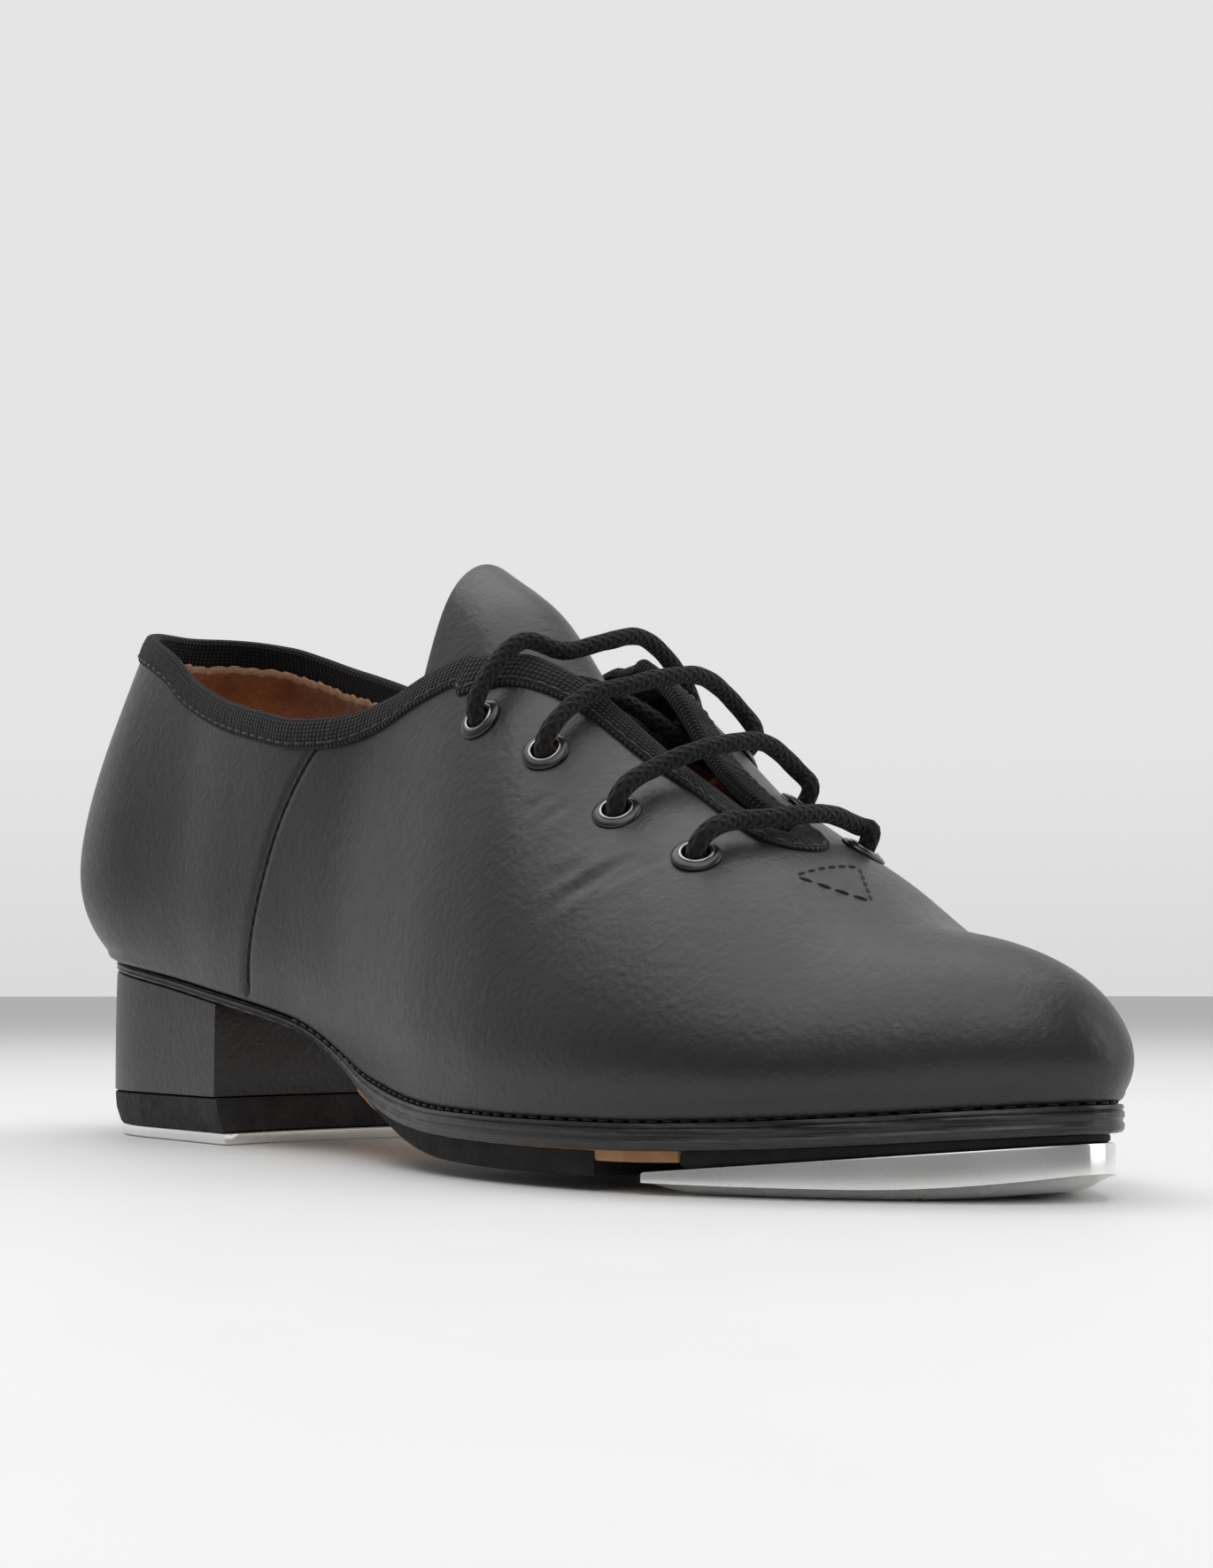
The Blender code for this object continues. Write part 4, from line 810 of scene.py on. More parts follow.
def metal(name, colour, roughness, scratch=(1, 1, 1)):
    material = new_material(name, colour, sum(roughness) / 2, 1.0)
    n = Nodes(material)
    v = n.mapped(scratch)
    lines = n.noise(v, 300, 5, .6)
    n.rough(n.range(n.noise(n.mapped((1, 1, 1)), 60, 4), *roughness))
    n.bump(lines, .06, .04)
    return material


def rubber(name, colour, scale, strength):
    material = new_material(name, colour, .8, specular=.3)
    n = Nodes(material)
    v = n.mapped((1, 1, 1))
    c = np.array(colour)
    n.colour(n.ramp(n.noise(v, 160, 4), ((.3, tuple(c * .6)), (.7, tuple(c * 1.5)))))
    n.rough(n.range(n.noise(v, 500, 3), .66, .92))
    n.bump(n.math("ADD", n.voronoi(v, scale), n.noise(v, 1500, 3)), strength, .3)
    return material


def sole_edge(name, colour):
    """Dyed leather edge with fine grooves that run along it."""
    material = new_material(name, colour, .35, specular=.6)
    n = Nodes(material)
    v = n.mapped((1, 1, 1))
    grooves = n.wave(v, 260, 1.5, "Z")
    grain = n.noise(n.mapped((.25, .25, 1)), 900, 4)
    c = np.array(colour)
    n.colour(n.ramp(grain, ((.3, tuple(c * .7)), (.75, tuple(c * 1.8)))))
    n.rough(n.range(n.noise(v, 350, 4), .18, .5))
    n.bump(n.math("ADD", n.math("MULTIPLY", grooves, .5), grain), .45, .22)
    return material


def board(name, dark, light):
    material = new_material(name, light, .85)
    n = Nodes(material)
    v = n.mapped((1, 4, 1))
    n.colour(n.ramp(n.noise(v, 90, 5), ((.3, dark), (.7, light))))
    n.bump(n.noise(v, 600, 4), .4, .2)
    return material


LEATHER_M = leather("black_grain_leather", (.013, .013, .0133), (.021, .021, .0216), (.30, .48))
# painted light: the tongue's black leather made lighter than the other leather, standing in for the key
# light falling on the tongue
TONGUE_PAINTED_LIGHT_M = leather("tongue_leather", (.022, .022, .0224), (.031, .031, .0318), (.30, .44))
KNIT_M = knit("black_knit", (.0105, .0108, .0115), .14)
BRAID_M = braid("black_braid_lace", (.0075, .0075, .0078))
SUEDE_M = suede("tan_suede_lining", (.27, .090, .034), (.50, .19, .075))
RAW_M = suede("raw_suede_edge", (.40, .20, .10), (.60, .36, .20))
THREAD_M = new_material("black_thread", (.012, .012, .012), .6, sheen=.3)
THREAD_N = Nodes(THREAD_M)
THREAD_N.bump(THREAD_N.noise(THREAD_N.mapped((1, 1, 1)), 3000, 3), .5, .1)
EDGE_M = sole_edge("black_sole_edge", (.007, .007, .0073))
SOLE_TAN_M = board("tan_sole_leather", (.30, .15, .06), (.50, .29, .14))
PAD_M = rubber("black_pad_rubber", (.013, .013, .0135), 420, .35)
LIFT_M = rubber("black_lift_rubber", (.030, .030, .031), 700, .7)
HEEL_M = leather("black_heel_cover", (.012, .012, .0122), (.018, .018, .0185), (.34, .46))
ALU_M = metal("polished_tap", (.92, .92, .91), (.20, .34), (1, 4, 1))
STEEL_M = metal("screw_steel", (.60, .60, .60), (.25, .42), (6, 1, 1))
# partly painted reflection: the rolled lip is bright bare metal against the black flange, partly worn
# metal and partly standing in for the shine along the lip
LIP_METAL_AND_SHINE_M = metal("eyelet_lip_metal_and_painted_shine", (.36, .36, .36), (.18, .3))
FLANGE_M = new_material("eyelet_black", (.010, .010, .0105), .3, specular=.5, coat=.3)
FLANGE_N = Nodes(FLANGE_M)
FLANGE_N.rough(FLANGE_N.range(FLANGE_N.noise(FLANGE_N.mapped((1, 1, 1)), 700, 4), .22, .42))
TIP_M = new_material("lace_tip", (.012, .012, .012), .25, coat=.5)
TIP_N = Nodes(TIP_M)
TIP_N.bump(TIP_N.noise(TIP_N.mapped((1, 1, 1)), 500, 2), .2, .1)
BOARD_M = board("fibreboard", (.22, .14, .08), (.36, .25, .15))
FELT_M = suede("stiffener_felt", (.45, .42, .36), (.6, .57, .5))


# ---- camera, light and stage ----------------------------------------------------------------
YAW, PITCH = math.radians(52.02), math.radians(-4.88)
BACK = np.array([math.sin(YAW) * math.cos(PITCH), -math.cos(YAW) * math.cos(PITCH), math.sin(PITCH)])
LOOK_AT = np.array([130.0, 20.5, 70.0])
CAMERA_DISTANCE = 472.6
LENS = 56.57               # millimetres, for the frame's long side on 36 mm


def make_camera():
    data = bpy.data.cameras.new("camera")
    data.lens = LENS
    data.sensor_width = 36
    data.clip_start, data.clip_end = .01, 100
    obj = bpy.data.objects.new("camera", data)
    obj.location = Vector(place(LOOK_AT + BACK * CAMERA_DISTANCE))
    obj.rotation_euler = Vector(-BACK).to_track_quat("-Z", "Y").to_euler()
    bpy.context.collection.objects.link(obj)
    bpy.context.scene.camera = obj


def area_light(name, location, target, size, watts, colour=(1, 1, 1)):
    data = bpy.data.lights.new(name, "AREA")
    data.shape = "RECTANGLE"
    data.size, data.size_y = size
    data.energy = watts
    data.color = colour
    obj = bpy.data.objects.new(name, data)
    obj.location = location
    direction = Vector(target) - Vector(location)
    obj.rotation_euler = direction.to_track_quat("-Z", "Y").to_euler()
    bpy.context.collection.objects.link(obj)


def make_stage():
    mesh = bpy.data.meshes.new("floor")
    mesh.from_pydata([(-30, -30, 0), (30, -30, 0), (30, 30, 0), (-30, 30, 0)], [], [(0, 1, 2, 3)])
    floor_material = new_material("pale_floor", (.90, .90, .90), .6, specular=.25)
    n = Nodes(floor_material)
    n.rough(n.range(n.noise(n.mapped((1, 1, 1)), 40, 3), .5, .7))
    mesh.materials.append(floor_material)
    floor = bpy.data.objects.new("floor", mesh)
    bpy.context.collection.objects.link(floor)
    world = bpy.data.worlds.new("studio")
    world.use_nodes = True
    tree = world.node_tree
    coords = tree.nodes.new("ShaderNodeTexCoord")
    split = tree.nodes.new("ShaderNodeSeparateXYZ")
    ramp = tree.nodes.new("ShaderNodeValToRGB")
    tree.links.new(coords.outputs["Generated"], split.inputs["Vector"])
    tree.links.new(split.outputs["Z"], ramp.inputs["Fac"])
    tree.links.new(ramp.outputs["Color"], tree.nodes["Background"].inputs["Color"])
    dot = tree.nodes.new("ShaderNodeVectorMath")
    dot.operation = "DOT_PRODUCT"
    dot.inputs[1].default_value = (-.788, .615, 0)
    level = tree.nodes.new("ShaderNodeMapRange")
    level.inputs["From Min"].default_value = -.3
    level.inputs["From Max"].default_value = .7
    level.inputs["To Min"].default_value = .26
    level.inputs["To Max"].default_value = 1.0
    tree.links.new(coords.outputs["Generated"], dot.inputs[0])
    tree.links.new(dot.outputs["Value"], level.inputs["Value"])
    tree.links.new(level.outputs["Result"], tree.nodes["Background"].inputs["Strength"])
    ramp.color_ramp.elements[0].position = 0.0
    ramp.color_ramp.elements[0].color = (.70, .70, .70, 1)
    ramp.color_ramp.elements[1].position = .10
    ramp.color_ramp.elements[1].color = (.78, .78, .78, 1)
    bpy.context.scene.world = world
    bpy.context.scene.view_settings.view_transform = "Standard"
    area_light("key", (.75, -.45, 1.0), (.1, 0, .05), (.8, .8), 2.6)
    area_light("top", (.0, -.08, 1.05), (.1, 0, .05), (1.3, 1.3), 7.6)
    area_light("rim", (.9, .8, .5), (.15, 0, .05), (.5, .9), 2.0)


make_camera()
make_stage()


# ---- upper ----------------------------------------------------------------------------------
def segment_distance(p, a, b):
    a, b = np.array(a), np.array(b)
    d = b - a
    t = np.clip(((p[..., :2] - a) @ d) / (d @ d), 0, 1)
    return np.linalg.norm(p[..., :2] - (a + t[..., None] * d), axis=-1), t


# plan start, plan end, depth and width of each crease in the vamp
CREASES = (((187, -36), (193, -29), .30, 1.0), ((190, -34), (197, -24.5), .42, .9),
           ((193, -33), (199, -24), .25, .8), ((184, -34), (189, -30), .2, 1.0),
           ((176, -31), (180, -25), .22, .8), ((173, -31), (177, -26), .16, .9),
           ((196, -30), (201, -23), .16, .8), ((190, 34), (197, 24), .30, 1.0),
           ((186, 36), (192, 28), .25, 1.0), ((177, 31), (181, 24), .2, .9))


def crease_lift(p):
    lift = np.zeros(p.shape[:-1])
    for a, b, depth, width in CREASES:
        wobble = .5 * np.sin(p[..., 0] * 1.3) + .4 * np.sin(p[..., 1] * 1.7)
        d, t = segment_distance(p + wobble[..., None] * np.array([.5, .4, 0]), a, b)
        fade = np.sin(np.pi * np.clip(t, .02, .98)) ** .6
        high = p[..., 2] > 30
        lift -= depth * fade * np.exp(-(d / width) ** 2) * high
        lift += .45 * depth * fade * np.exp(-((d - 1.8 * width) / width) ** 2) * high
    return lift


def soft_waves(p):
    """Slight unevenness of leather drawn over the last."""
    x, y, z = p[..., 0], p[..., 1], p[..., 2]
    broad = .10 * np.sin(x * .11 + z * .07) * np.sin(y * .09 - z * .13 + 1.3)
    return broad + .05 * np.sin(x * .31 + y * .23)


def wall(seam_from, seam_to, cols, rows):
    """Surface parameters of a fine wall between two leaning seams."""
    s = np.linspace(0, 1, cols)
    t = np.linspace(0, 1, rows)
    u = np.array([seam_from(v) + (seam_to(v) - seam_from(v)) * s for v in t])
    low = bottom_phi(u[0], FEATHER_RADIUS)
    high = edge_phi(u[-1], 0)
    return u, low + (high - low) * t[:, None], s


def vamp_from(t):
    return seam_u(t, -1, .05)


def vamp_to(t):
    return seam_u(t, 1, .05)


def quarter_from(t):
    return seam_u(t, 1, -.05)


def quarter_to(t):
    return 1 + seam_u(t, -1, -.05)


def leather_wall(name, seam_from, seam_to, cols, rows, lip):
    u, phi, _ = wall(seam_from, seam_to, cols, rows)
    p, n = last_point(u, phi), last_normal(u, phi)
    start = np.linalg.norm(p - p[:, :1], axis=2)
    end = np.linalg.norm(p - p[:, -1:], axis=2)
    seam = np.minimum(start, end)
    lift = soft_waves(p) + crease_lift(p) - .75 * np.exp(-(seam / lip) ** 2)
    outer = p + n * (lift * smoothstep(0, 3, p[..., 2] - feather_z(p[..., 0])))[..., None]
    flat, r = outline_normal(u[0]), FEATHER_RADIUS
    foot = []
    for inset, up in ((8.0, 0), (r, 0), (r * .6, .12 * r), (r * .29, r * .29), (.1 * r, .62 * r)):
        row = p[0].copy()
        row[:, :2] -= flat * inset
        row[:, 2] = feather_z(row[:, 0]) + up
        foot.append(row)
    grid = np.concatenate([foot, outer])
    places = np.array([over(x, y, 0) for x, y in eyelet_places()])

    def keep(centres):
        away = np.linalg.norm(centres[:, None] - places[None], axis=2).min(1)
        return away > 2.9

    obj = grid_piece(name, grid, arc_uv(grid), [LEATHER_M], keep=keep)
    facing_out(obj, (130, 0, 45))
    return solidify(obj, LEATHER)


finish_piece(leather_wall("vamp_leather", vamp_from, vamp_to, 400, 74, 1.1), "shoe",
             ["vamp"])
finish_piece(leather_wall("back_quarter_leather", quarter_from, quarter_to, 190, 60, 1.1), "shoe",
             ["back_quarter"])


def lining_wall(name, seam_from, seam_to, cols, rows, seed):
    """Suede lining; its raw top edge is rough and paler."""
    u, phi, _ = wall(seam_from, seam_to, cols, rows)
    edge_x = last_point(u[-1], edge_phi(u[-1], 0))[:, 0]
    slit = smoothstep(138, 150, edge_x)
    high = (1 - slit) * edge_phi(u[-1], LINING_INSET - 1.3) + slit * edge_phi(u[-1], LINING_INSET + 9.5)
    low = bottom_phi(u[0], FEATHER_RADIUS + .2)
    rough = np.sin(np.arange(cols) * 1.7 + seed) + .7 * np.sin(np.arange(cols) * .61 + seed * 2)
    high = high + .0035 * rough + .004 * np.sin(np.arange(cols) * 3.1)
    t = np.linspace(0, 1, rows)[:, None]
    phi = low + (high - low) * t
    p, n = last_point(u, phi), last_normal(u, phi)
    height = p[..., 2] - feather_z(p[..., 0])
    depth = np.full(p.shape[:2], UNDER_LEATHER + .1)
    x = p[..., 0]
    deep = smoothstep(84, 70, x) * smoothstep(62, 50, height) + smoothstep(222, 230, x)
    depth = depth + (STIFFENER + GAP) * np.clip(deep, 0, 1)
    near_edge = smoothstep(1 - 6 / rows, 1, t) * np.ones(cols)
    depth = depth + near_edge * (.95 + .25 * rough)
    outer, inner = p - n * depth[..., None], p - n * (depth + LINING)[..., None]
    shell = np.concatenate([outer, inner[::-1]])

    def slot(_, row, col):
        return (np.abs(row - rows + .5) < 1.1).astype(int)

    obj = grid_piece(name, shell, arc_uv(shell, wrap_rows=True), [SUEDE_M, RAW_M], wrap_rows=True,
                     face_material=slot)
    return obj


finish_piece(lining_wall("vamp_suede", vamp_from, vamp_to, 260, 40, 1.0), "shoe",
             ["vamp_lining"])
finish_piece(lining_wall("quarter_suede", quarter_from, quarter_to, 170, 40, 2.0), "shoe",
             ["quarter_lining"])

EDGE_U = np.concatenate([np.linspace(vamp_from(1.0), vamp_to(1.0), 520, endpoint=False),
                         np.linspace(quarter_from(1.0), quarter_to(1.0), 260, endpoint=False)])


def edge_line(inset):
    phi = edge_phi(EDGE_U, inset)
    return last_point(EDGE_U, phi), last_normal(EDGE_U, phi)


def even_loop(p):
    """Distance along a closed line at each of its points, ending with the line's whole length."""
    step = np.linalg.norm(np.roll(p, -1, 0) - p, axis=1)
    return np.concatenate([[0], np.cumsum(step)])


def make_binding():
    """Knitted tape: outer leaf, round fold over the cut edge, inner leaf."""
    p0, n0 = edge_line(0)
    p1, _ = edge_line(2.0)
    up = p0 - p1
    up /= np.linalg.norm(up, axis=1, keepdims=True)
    rows = []
    for inset, lift in ((4.9, .12), (4.75, .55), (4.3, .78), (3.9, .70), (3.5, .84), (2.4, .95),
                        (1.3, .95), (.4, .90)):
        p, n = edge_line(inset)
        rows.append(p + n * lift)
    half = LEATHER / 2
    for angle in np.linspace(.12, .88, 7) * math.pi:
        outward = n0 * (half + .9) * math.cos(angle)
        rows.append(p0 - n0 * half + outward + up * 1.25 * math.sin(angle))
    for inset in (.4, 1.3, 2.4, 3.5, 4.3, 4.75):
        p, n = edge_line(inset)
        rows.append(p - n * (LEATHER + .75))
    grid = np.array(rows)
    for _ in range(2):
        grid = (np.roll(grid, 1, 1) + 2 * grid + np.roll(grid, -1, 1)) / 4
    wave = even_loop(grid[8])[:-1]
    rib = .05 * np.sin(wave * 2 * math.pi / 1.25)
    uv = arc_uv(grid, wrap_rows=True, wrap_cols=True)
    outward = edge_line(2.4)[1]
    share = np.array([.4, .4, 1, 1, 1, .6])[:, None, None]
    grid[2:8] += outward[None] * rib[None, :, None] * share
    obj = grid_piece("collar_tape", grid, uv, [KNIT_M], wrap_rows=True, wrap_cols=True)
    finish_piece(obj, "shoe", ["edge_binding"])


# share along a stitch, share of its radius, height in radii
STITCH_SHAPE = ((0, .35, -.6), (.12, .85, -.1), (.35, 1, .25), (.65, 1, .25), (.88, .85, -.1),
                (1, .35, -.6))
STITCH_SINK = .1           # how far a stitch lies in the surface, in radii


def stitch_run(name, line, normal, length, gap, radius):
    """Row of thread stitches along a line that lies on a surface."""
    step = np.linalg.norm(np.diff(line, axis=0), axis=1)
    s = np.concatenate([[0], np.cumsum(step)])
    count = max(1, int(s[-1] / (length + gap)))
    pitch = s[-1] / count
    points, faces = [], []
    for k in range(count):
        start = k * pitch + gap / 2
        at = np.array([start + f * (pitch - gap) for f, _, _ in STITCH_SHAPE])
        centre = np.stack([np.interp(at, s, line[:, i]) for i in range(3)], -1)
        n = np.stack([np.interp(at, s, normal[:, i]) for i in range(3)], -1)
        n /= np.linalg.norm(n, axis=1, keepdims=True)
        t = centre[-1] - centre[0]
        t /= np.linalg.norm(t)
        b = np.cross(t, n)
        base = len(points) * 6
        for (_, size, lift), c, up, side in zip(STITCH_SHAPE, centre, n, b):
            angle = np.arange(6) * math.pi / 3
            ring = c + up * (lift * radius - STITCH_SINK * radius) + radius * size * (
                np.cos(angle)[:, None] * side + np.sin(angle)[:, None] * up)
            points.append(ring)
        for j in range(len(STITCH_SHAPE) - 1):
            for i in range(6):
                a, c0 = base + j * 6 + i, base + j * 6 + (i + 1) % 6
                faces.append((a, c0, c0 + 6, a + 6))
        faces.append(tuple(base + i for i in range(6)))
        faces.append(tuple(base + (len(STITCH_SHAPE) - 1) * 6 + i for i in reversed(range(6))))
    obj = make_mesh(name, np.vstack(points), faces, [THREAD_M])
    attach(obj, "shoe")


def closed_line(points):
    return np.vstack([points, points[:1]])


def sew_tape():
    line, normal = edge_line(3.95)
    stitch_run("collar_stitches", closed_line(line) + .78 * closed_line(normal),
               closed_line(normal), 2.3, .9, .26)


def sew_side_seam(name, seam_end):
    shares = np.linspace(.02, .93, 90)
    u = np.array([float(seam_end(t)) for t in shares])
    top_phi = float(edge_phi(np.array([seam_end(1.0)]), 0)[0])
    low_phi = float(bottom_phi(np.array([seam_end(0.0)]), FEATHER_RADIUS)[0])
    phi = low_phi + (top_phi - low_phi) * shares
    normal = last_normal(u, phi)
    stitch_run(f"{name}_seam_stitches", last_point(u, phi) - .32 * normal, normal, 1.5, .9, .22)


make_binding()
sew_tape()
sew_side_seam("lateral", vamp_from)
sew_side_seam("medial", vamp_to)


# ---- throat stitches: a small triangle that holds the tongue's base ---------------------------
TRIANGLE = ((216.2, -9.6), (214.6, 5.8), (225.0, -1.4), (216.2, -9.6))
for number, (a, b) in enumerate(zip(TRIANGLE[:-1], TRIANGLE[1:]), 1):
    shares = np.linspace(.03, .97, 14)
    plan = [(a[0] + (b[0] - a[0]) * t, a[1] + (b[1] - a[1]) * t) for t in shares]
    line = np.array([over(x, y, .08) for x, y in plan])
    up = np.array([normal_over(x, y) for x, y in plan])
    stitch_run(f"throat_stitches_{number}", line, up, 2.0, .45, .3)


# ---- tongue ---------------------------------------------------------------------------------
def tongue_surface(extra, stations, shares):
    """Tongue's outer face moved in by extra, at each station and share of its half width."""
    grid = []
    for x in stations:
        row = []
        for b in shares:
            side = smoothstep(.35, 1, abs(b))
            depth = tongue_depth(x) * (1 - side) + tongue_edge_depth(x) * side
            row.append(over(x, SLIT_MIDDLE + b * tongue_width(x), -(depth + extra)))
        grid.append(row)
    return np.array(grid)


def rounded_sheet(name, outer, inner, materials, split=False):
    """Closed sheet between two grids with its rim rounded by one middle row."""
    rim_mid = (outer + inner) / 2

    def ring(g, k):
        return np.vstack([g[k, k:-1 - k], g[k:-1 - k, -1 - k], g[-1 - k, k + 1:len(g[0]) - k][::-1],
                          g[k + 1:len(g) - k, k][::-1]])

    rows, cols = outer.shape[:2]
    points = np.vstack([outer.reshape(-1, 3), inner.reshape(-1, 3), ring(rim_mid, 0)])
    index = np.arange(rows * cols).reshape(rows, cols)
    edge = ring(index[..., None], 0)[:, 0]
    centre = rim_mid[rows // 2, cols // 2]
    out_dir = points[2 * rows * cols:] - centre
    out_dir /= np.linalg.norm(out_dir, axis=1, keepdims=True)
    points[2 * rows * cols:] += out_dir * .35
    faces = []
    for r in range(rows - 1):
        for c in range(cols - 1):
            a, b, d, e = index[r, c], index[r, c + 1], index[r + 1, c + 1], index[r + 1, c]
            faces.append((a, b, d, e))
            faces.append((a + rows * cols, e + rows * cols, d + rows * cols, b + rows * cols))
    top = len(faces)
    m, n = 2 * rows * cols, len(edge)
    for i in range(n):
        j = (i + 1) % n
        faces.append((edge[i], m + i, m + j, edge[j]))
        faces.append((m + i, edge[i] + rows * cols, edge[j] + rows * cols, m + j))
    slots = np.zeros(len(faces), int)
    if split:
        slots[1:top:2] = 1
    obj = make_mesh(name, points, faces, materials, None, slots)
    sub = obj.modifiers.new("smooth", "SUBSURF")
    sub.levels = sub.render_levels = 1
    return obj


TONGUE_ROWS = np.concatenate([[122, 122.6, 124, 126.5], np.linspace(130, 216, 26), [219, 222]])
TONGUE_SHARES = np.concatenate([[-1, -.975, -.92], np.linspace(-.82, .82, 15), [.92, .975, 1]])
LINED_ROWS = TONGUE_ROWS[1:-1]
LINED_SHARES = TONGUE_SHARES * .985
LINED_DEPTH = TONGUE + .12
# the tongue's leather material is lighter than the rest of the upper: painted light
finish_piece(rounded_sheet("tongue_leather", tongue_surface(0, TONGUE_ROWS, TONGUE_SHARES),
                           tongue_surface(TONGUE, TONGUE_ROWS, TONGUE_SHARES), [TONGUE_PAINTED_LIGHT_M]),
             "tongue_flap", ["tongue"])
finish_piece(rounded_sheet("tongue_suede", tongue_surface(LINED_DEPTH, LINED_ROWS, LINED_SHARES),
                           tongue_surface(LINED_DEPTH + TONGUE_LINING, LINED_ROWS, LINED_SHARES),
                           [SUEDE_M]),
             "tongue_flap", ["tongue_lining"])


# ---- eyelets and lace -----------------------------------------------------------------------
def lathe(name, profile, centre, axis, materials, segments=40, slots=None, closed=True):
    rings = np.array(turned(profile, segments, centre, axis))
    uv = arc_uv(rings, wrap_rows=closed, wrap_cols=True)

    def slot(_, row, col):
        return np.array([slots[r] for r in row]) if slots else np.zeros(len(row), int)

    obj = grid_piece(name, rings, uv, materials, wrap_rows=closed, wrap_cols=True,
                     face_material=slot, caps=not closed, smooth=None if closed else 40)
    return obj


def make_eyelets():
    flange = EYELET_FLANGE / 2
    dome = [(flange + .05, .05), (flange + .05, .22), (flange - .15, .42), (flange - .55, .62),
            (flange - 1.0, .74), (3.02, .74), (2.95, .70)]
    lip = [(2.88, .84), (2.75, .95), (2.58, .98), (2.42, .92), (2.32, .78), (2.28, .5), (2.26, -.6),
           (2.26, -EYELET_GRIP - .1), (2.45, -EYELET_GRIP - .45), (3.1, -EYELET_GRIP - .4),
           (3.3, -EYELET_GRIP - .05), (2.65, -EYELET_GRIP), (2.62, .05)]
    # slot 1 gives the rolled lip the bright bare metal, in part a painted reflection
    slots = [0] * len(dome) + [1] * (len(lip) - 1) + [0]
    for number, (x, y) in enumerate(eyelet_places()):
        side = ("lateral", "medial")[number // len(EYELET_ROWS)]
        row = number % len(EYELET_ROWS) + 1
        obj = lathe(f"eyelet_ring_{side}_{row}", dome + lip, over(x, y, 0), normal_over(x, y),
                    [FLANGE_M, LIP_METAL_AND_SHINE_M], 44, slots)
        finish_piece(obj, "shoe", [f"eyelet_{side}_{row}"])


def smooth_route(points, spacing):
    """Smooth curve through the route's points, resampled evenly."""
    p = np.array(points)
    d = np.linalg.norm(np.diff(p, axis=0), axis=1) ** .5
    tangent = np.zeros_like(p)
    for i in range(1, len(p) - 1):
        a, b = d[i - 1], d[i]
        tangent[i] = ((p[i] - p[i - 1]) / a * b + (p[i + 1] - p[i]) / b * a) / (a + b)
    tangent[0], tangent[-1] = (p[1] - p[0]) / d[0], (p[-1] - p[-2]) / d[-1]
    out = []
    for i in range(len(p) - 1):
        for t in np.linspace(0, 1, 24, endpoint=False):
            out.append((1 + 2 * t) * (1 - t) ** 2 * p[i] + t * (1 - t) ** 2 * d[i] * tangent[i]
                       + t * t * (3 - 2 * t) * p[i + 1] + t * t * (t - 1) * d[i] * tangent[i + 1])
    out = np.array(out + [p[-1]])
    s = np.concatenate([[0], np.cumsum(np.linalg.norm(np.diff(out, axis=0), axis=1))])
    even = np.linspace(0, s[-1], int(s[-1] / spacing))
    line = np.stack([np.interp(even, s, out[:, i]) for i in range(3)], -1)
    for _ in range(4):
        line[1:-1] = (line[:-2] + 2 * line[1:-1] + line[2:]) / 4
    return line, float(np.linalg.norm(np.diff(line, axis=0), axis=1).sum())


def tube_rings(line, radius, sides):
    """Rings round a line, carried along it without twist."""
    t = np.gradient(line, axis=0)
    t /= np.linalg.norm(t, axis=1, keepdims=True)
    side = np.cross(t[0], [0, 0, 1.0])
    side /= np.linalg.norm(side)
    rings = []
    angle = np.arange(sides) * 2 * math.pi / sides
    for i, p in enumerate(line):
        side = side - t[i] * (side @ t[i])
        side /= np.linalg.norm(side)
        other = np.cross(t[i], side)
        wobble = radius * (1 + .02 * math.sin(i * .9) + .015 * math.sin(i * .37))
        rings.append(p + wobble * (np.cos(angle)[:, None] * side + np.sin(angle)[:, None] * other))
    return np.array(rings)


def make_lace():
    route = lace_route()
    line, length = smooth_route(route, .8)
    rings = tube_rings(line, LACE / 2, 18)
    along = np.arange(len(line)) * (length / (len(line) - 1))
    around = np.linspace(0, math.pi * LACE, 19)
    uv = np.stack(np.meshgrid(around, along), -1)
    lace = grid_piece("lace_braid", rings, uv, [BRAID_M], wrap_cols=True, caps=True)
    finish_piece(lace, "shoe", ["lace"])
    ends = (("aglet_medial", line[0], line[1]), ("aglet_lateral", line[-1], line[-2]))
    for name, end, before in ends:
        away = (end - before) / np.linalg.norm(end - before)
        profile = [(.4, -1.2), (1.62, -1.2), (1.75, -1.0), (1.78, 0), (1.78, AGLET_LENGTH - 1.4),
                   (1.6, AGLET_LENGTH - .5), (1.2, AGLET_LENGTH), (.4, AGLET_LENGTH + .05)]
        tip = lathe(name + "_tube", profile, end, away, [TIP_M], 28, closed=False)
        finish_piece(tip, "shoe", [name])


make_eyelets()
make_lace()


# ---- sole, taps and heel --------------------------------------------------------------------
def fine_outline(inset, rear=-1e3, front=1e3, count=110):
    rear, front = ends_of(inset, rear, front)
    middle = (rear + front) / 2
    half = (front - rear) / 2
    x = middle - half * np.cos(np.linspace(0, math.pi, count))
    return both_sides(x, inset)


def strip_faces(n, first):
    return [(first + i, first + i + 1, first + n - 2 - i, first + n - 1 - i) for i in range(n // 2 - 1)]


def layered(name, rings, materials, slots=None, smooth=35, one_face=False):
    """Solid through closed outlines, capped from side to side or with one face.

    slots gives the materials of the lower cap and of each band above it.
    """
    slots = slots or [0] * (len(rings) + 1)
    n = len(rings[0])
    faces, band = [], []
    for r in range(len(rings) - 1):
        for i in range(n):
            j = (i + 1) % n
            faces.append((r * n + i, r * n + j, (r + 1) * n + j, (r + 1) * n + i))
            band.append(slots[r + 1])
    for first, slot in ((0, slots[0]), ((len(rings) - 1) * n, slots[-1])):
        cap = [tuple(range(first, first + n))] if one_face else strip_faces(n, first)
        cap = [face[::-1] for face in cap] if first == 0 else cap
        faces += cap
        band += [slot] * len(cap)
    obj = make_mesh(name, np.vstack(rings), faces, materials, None, band)
    face_outwards(obj)
    obj.data.set_sharp_from_angle(angle=math.radians(smooth))
    return obj


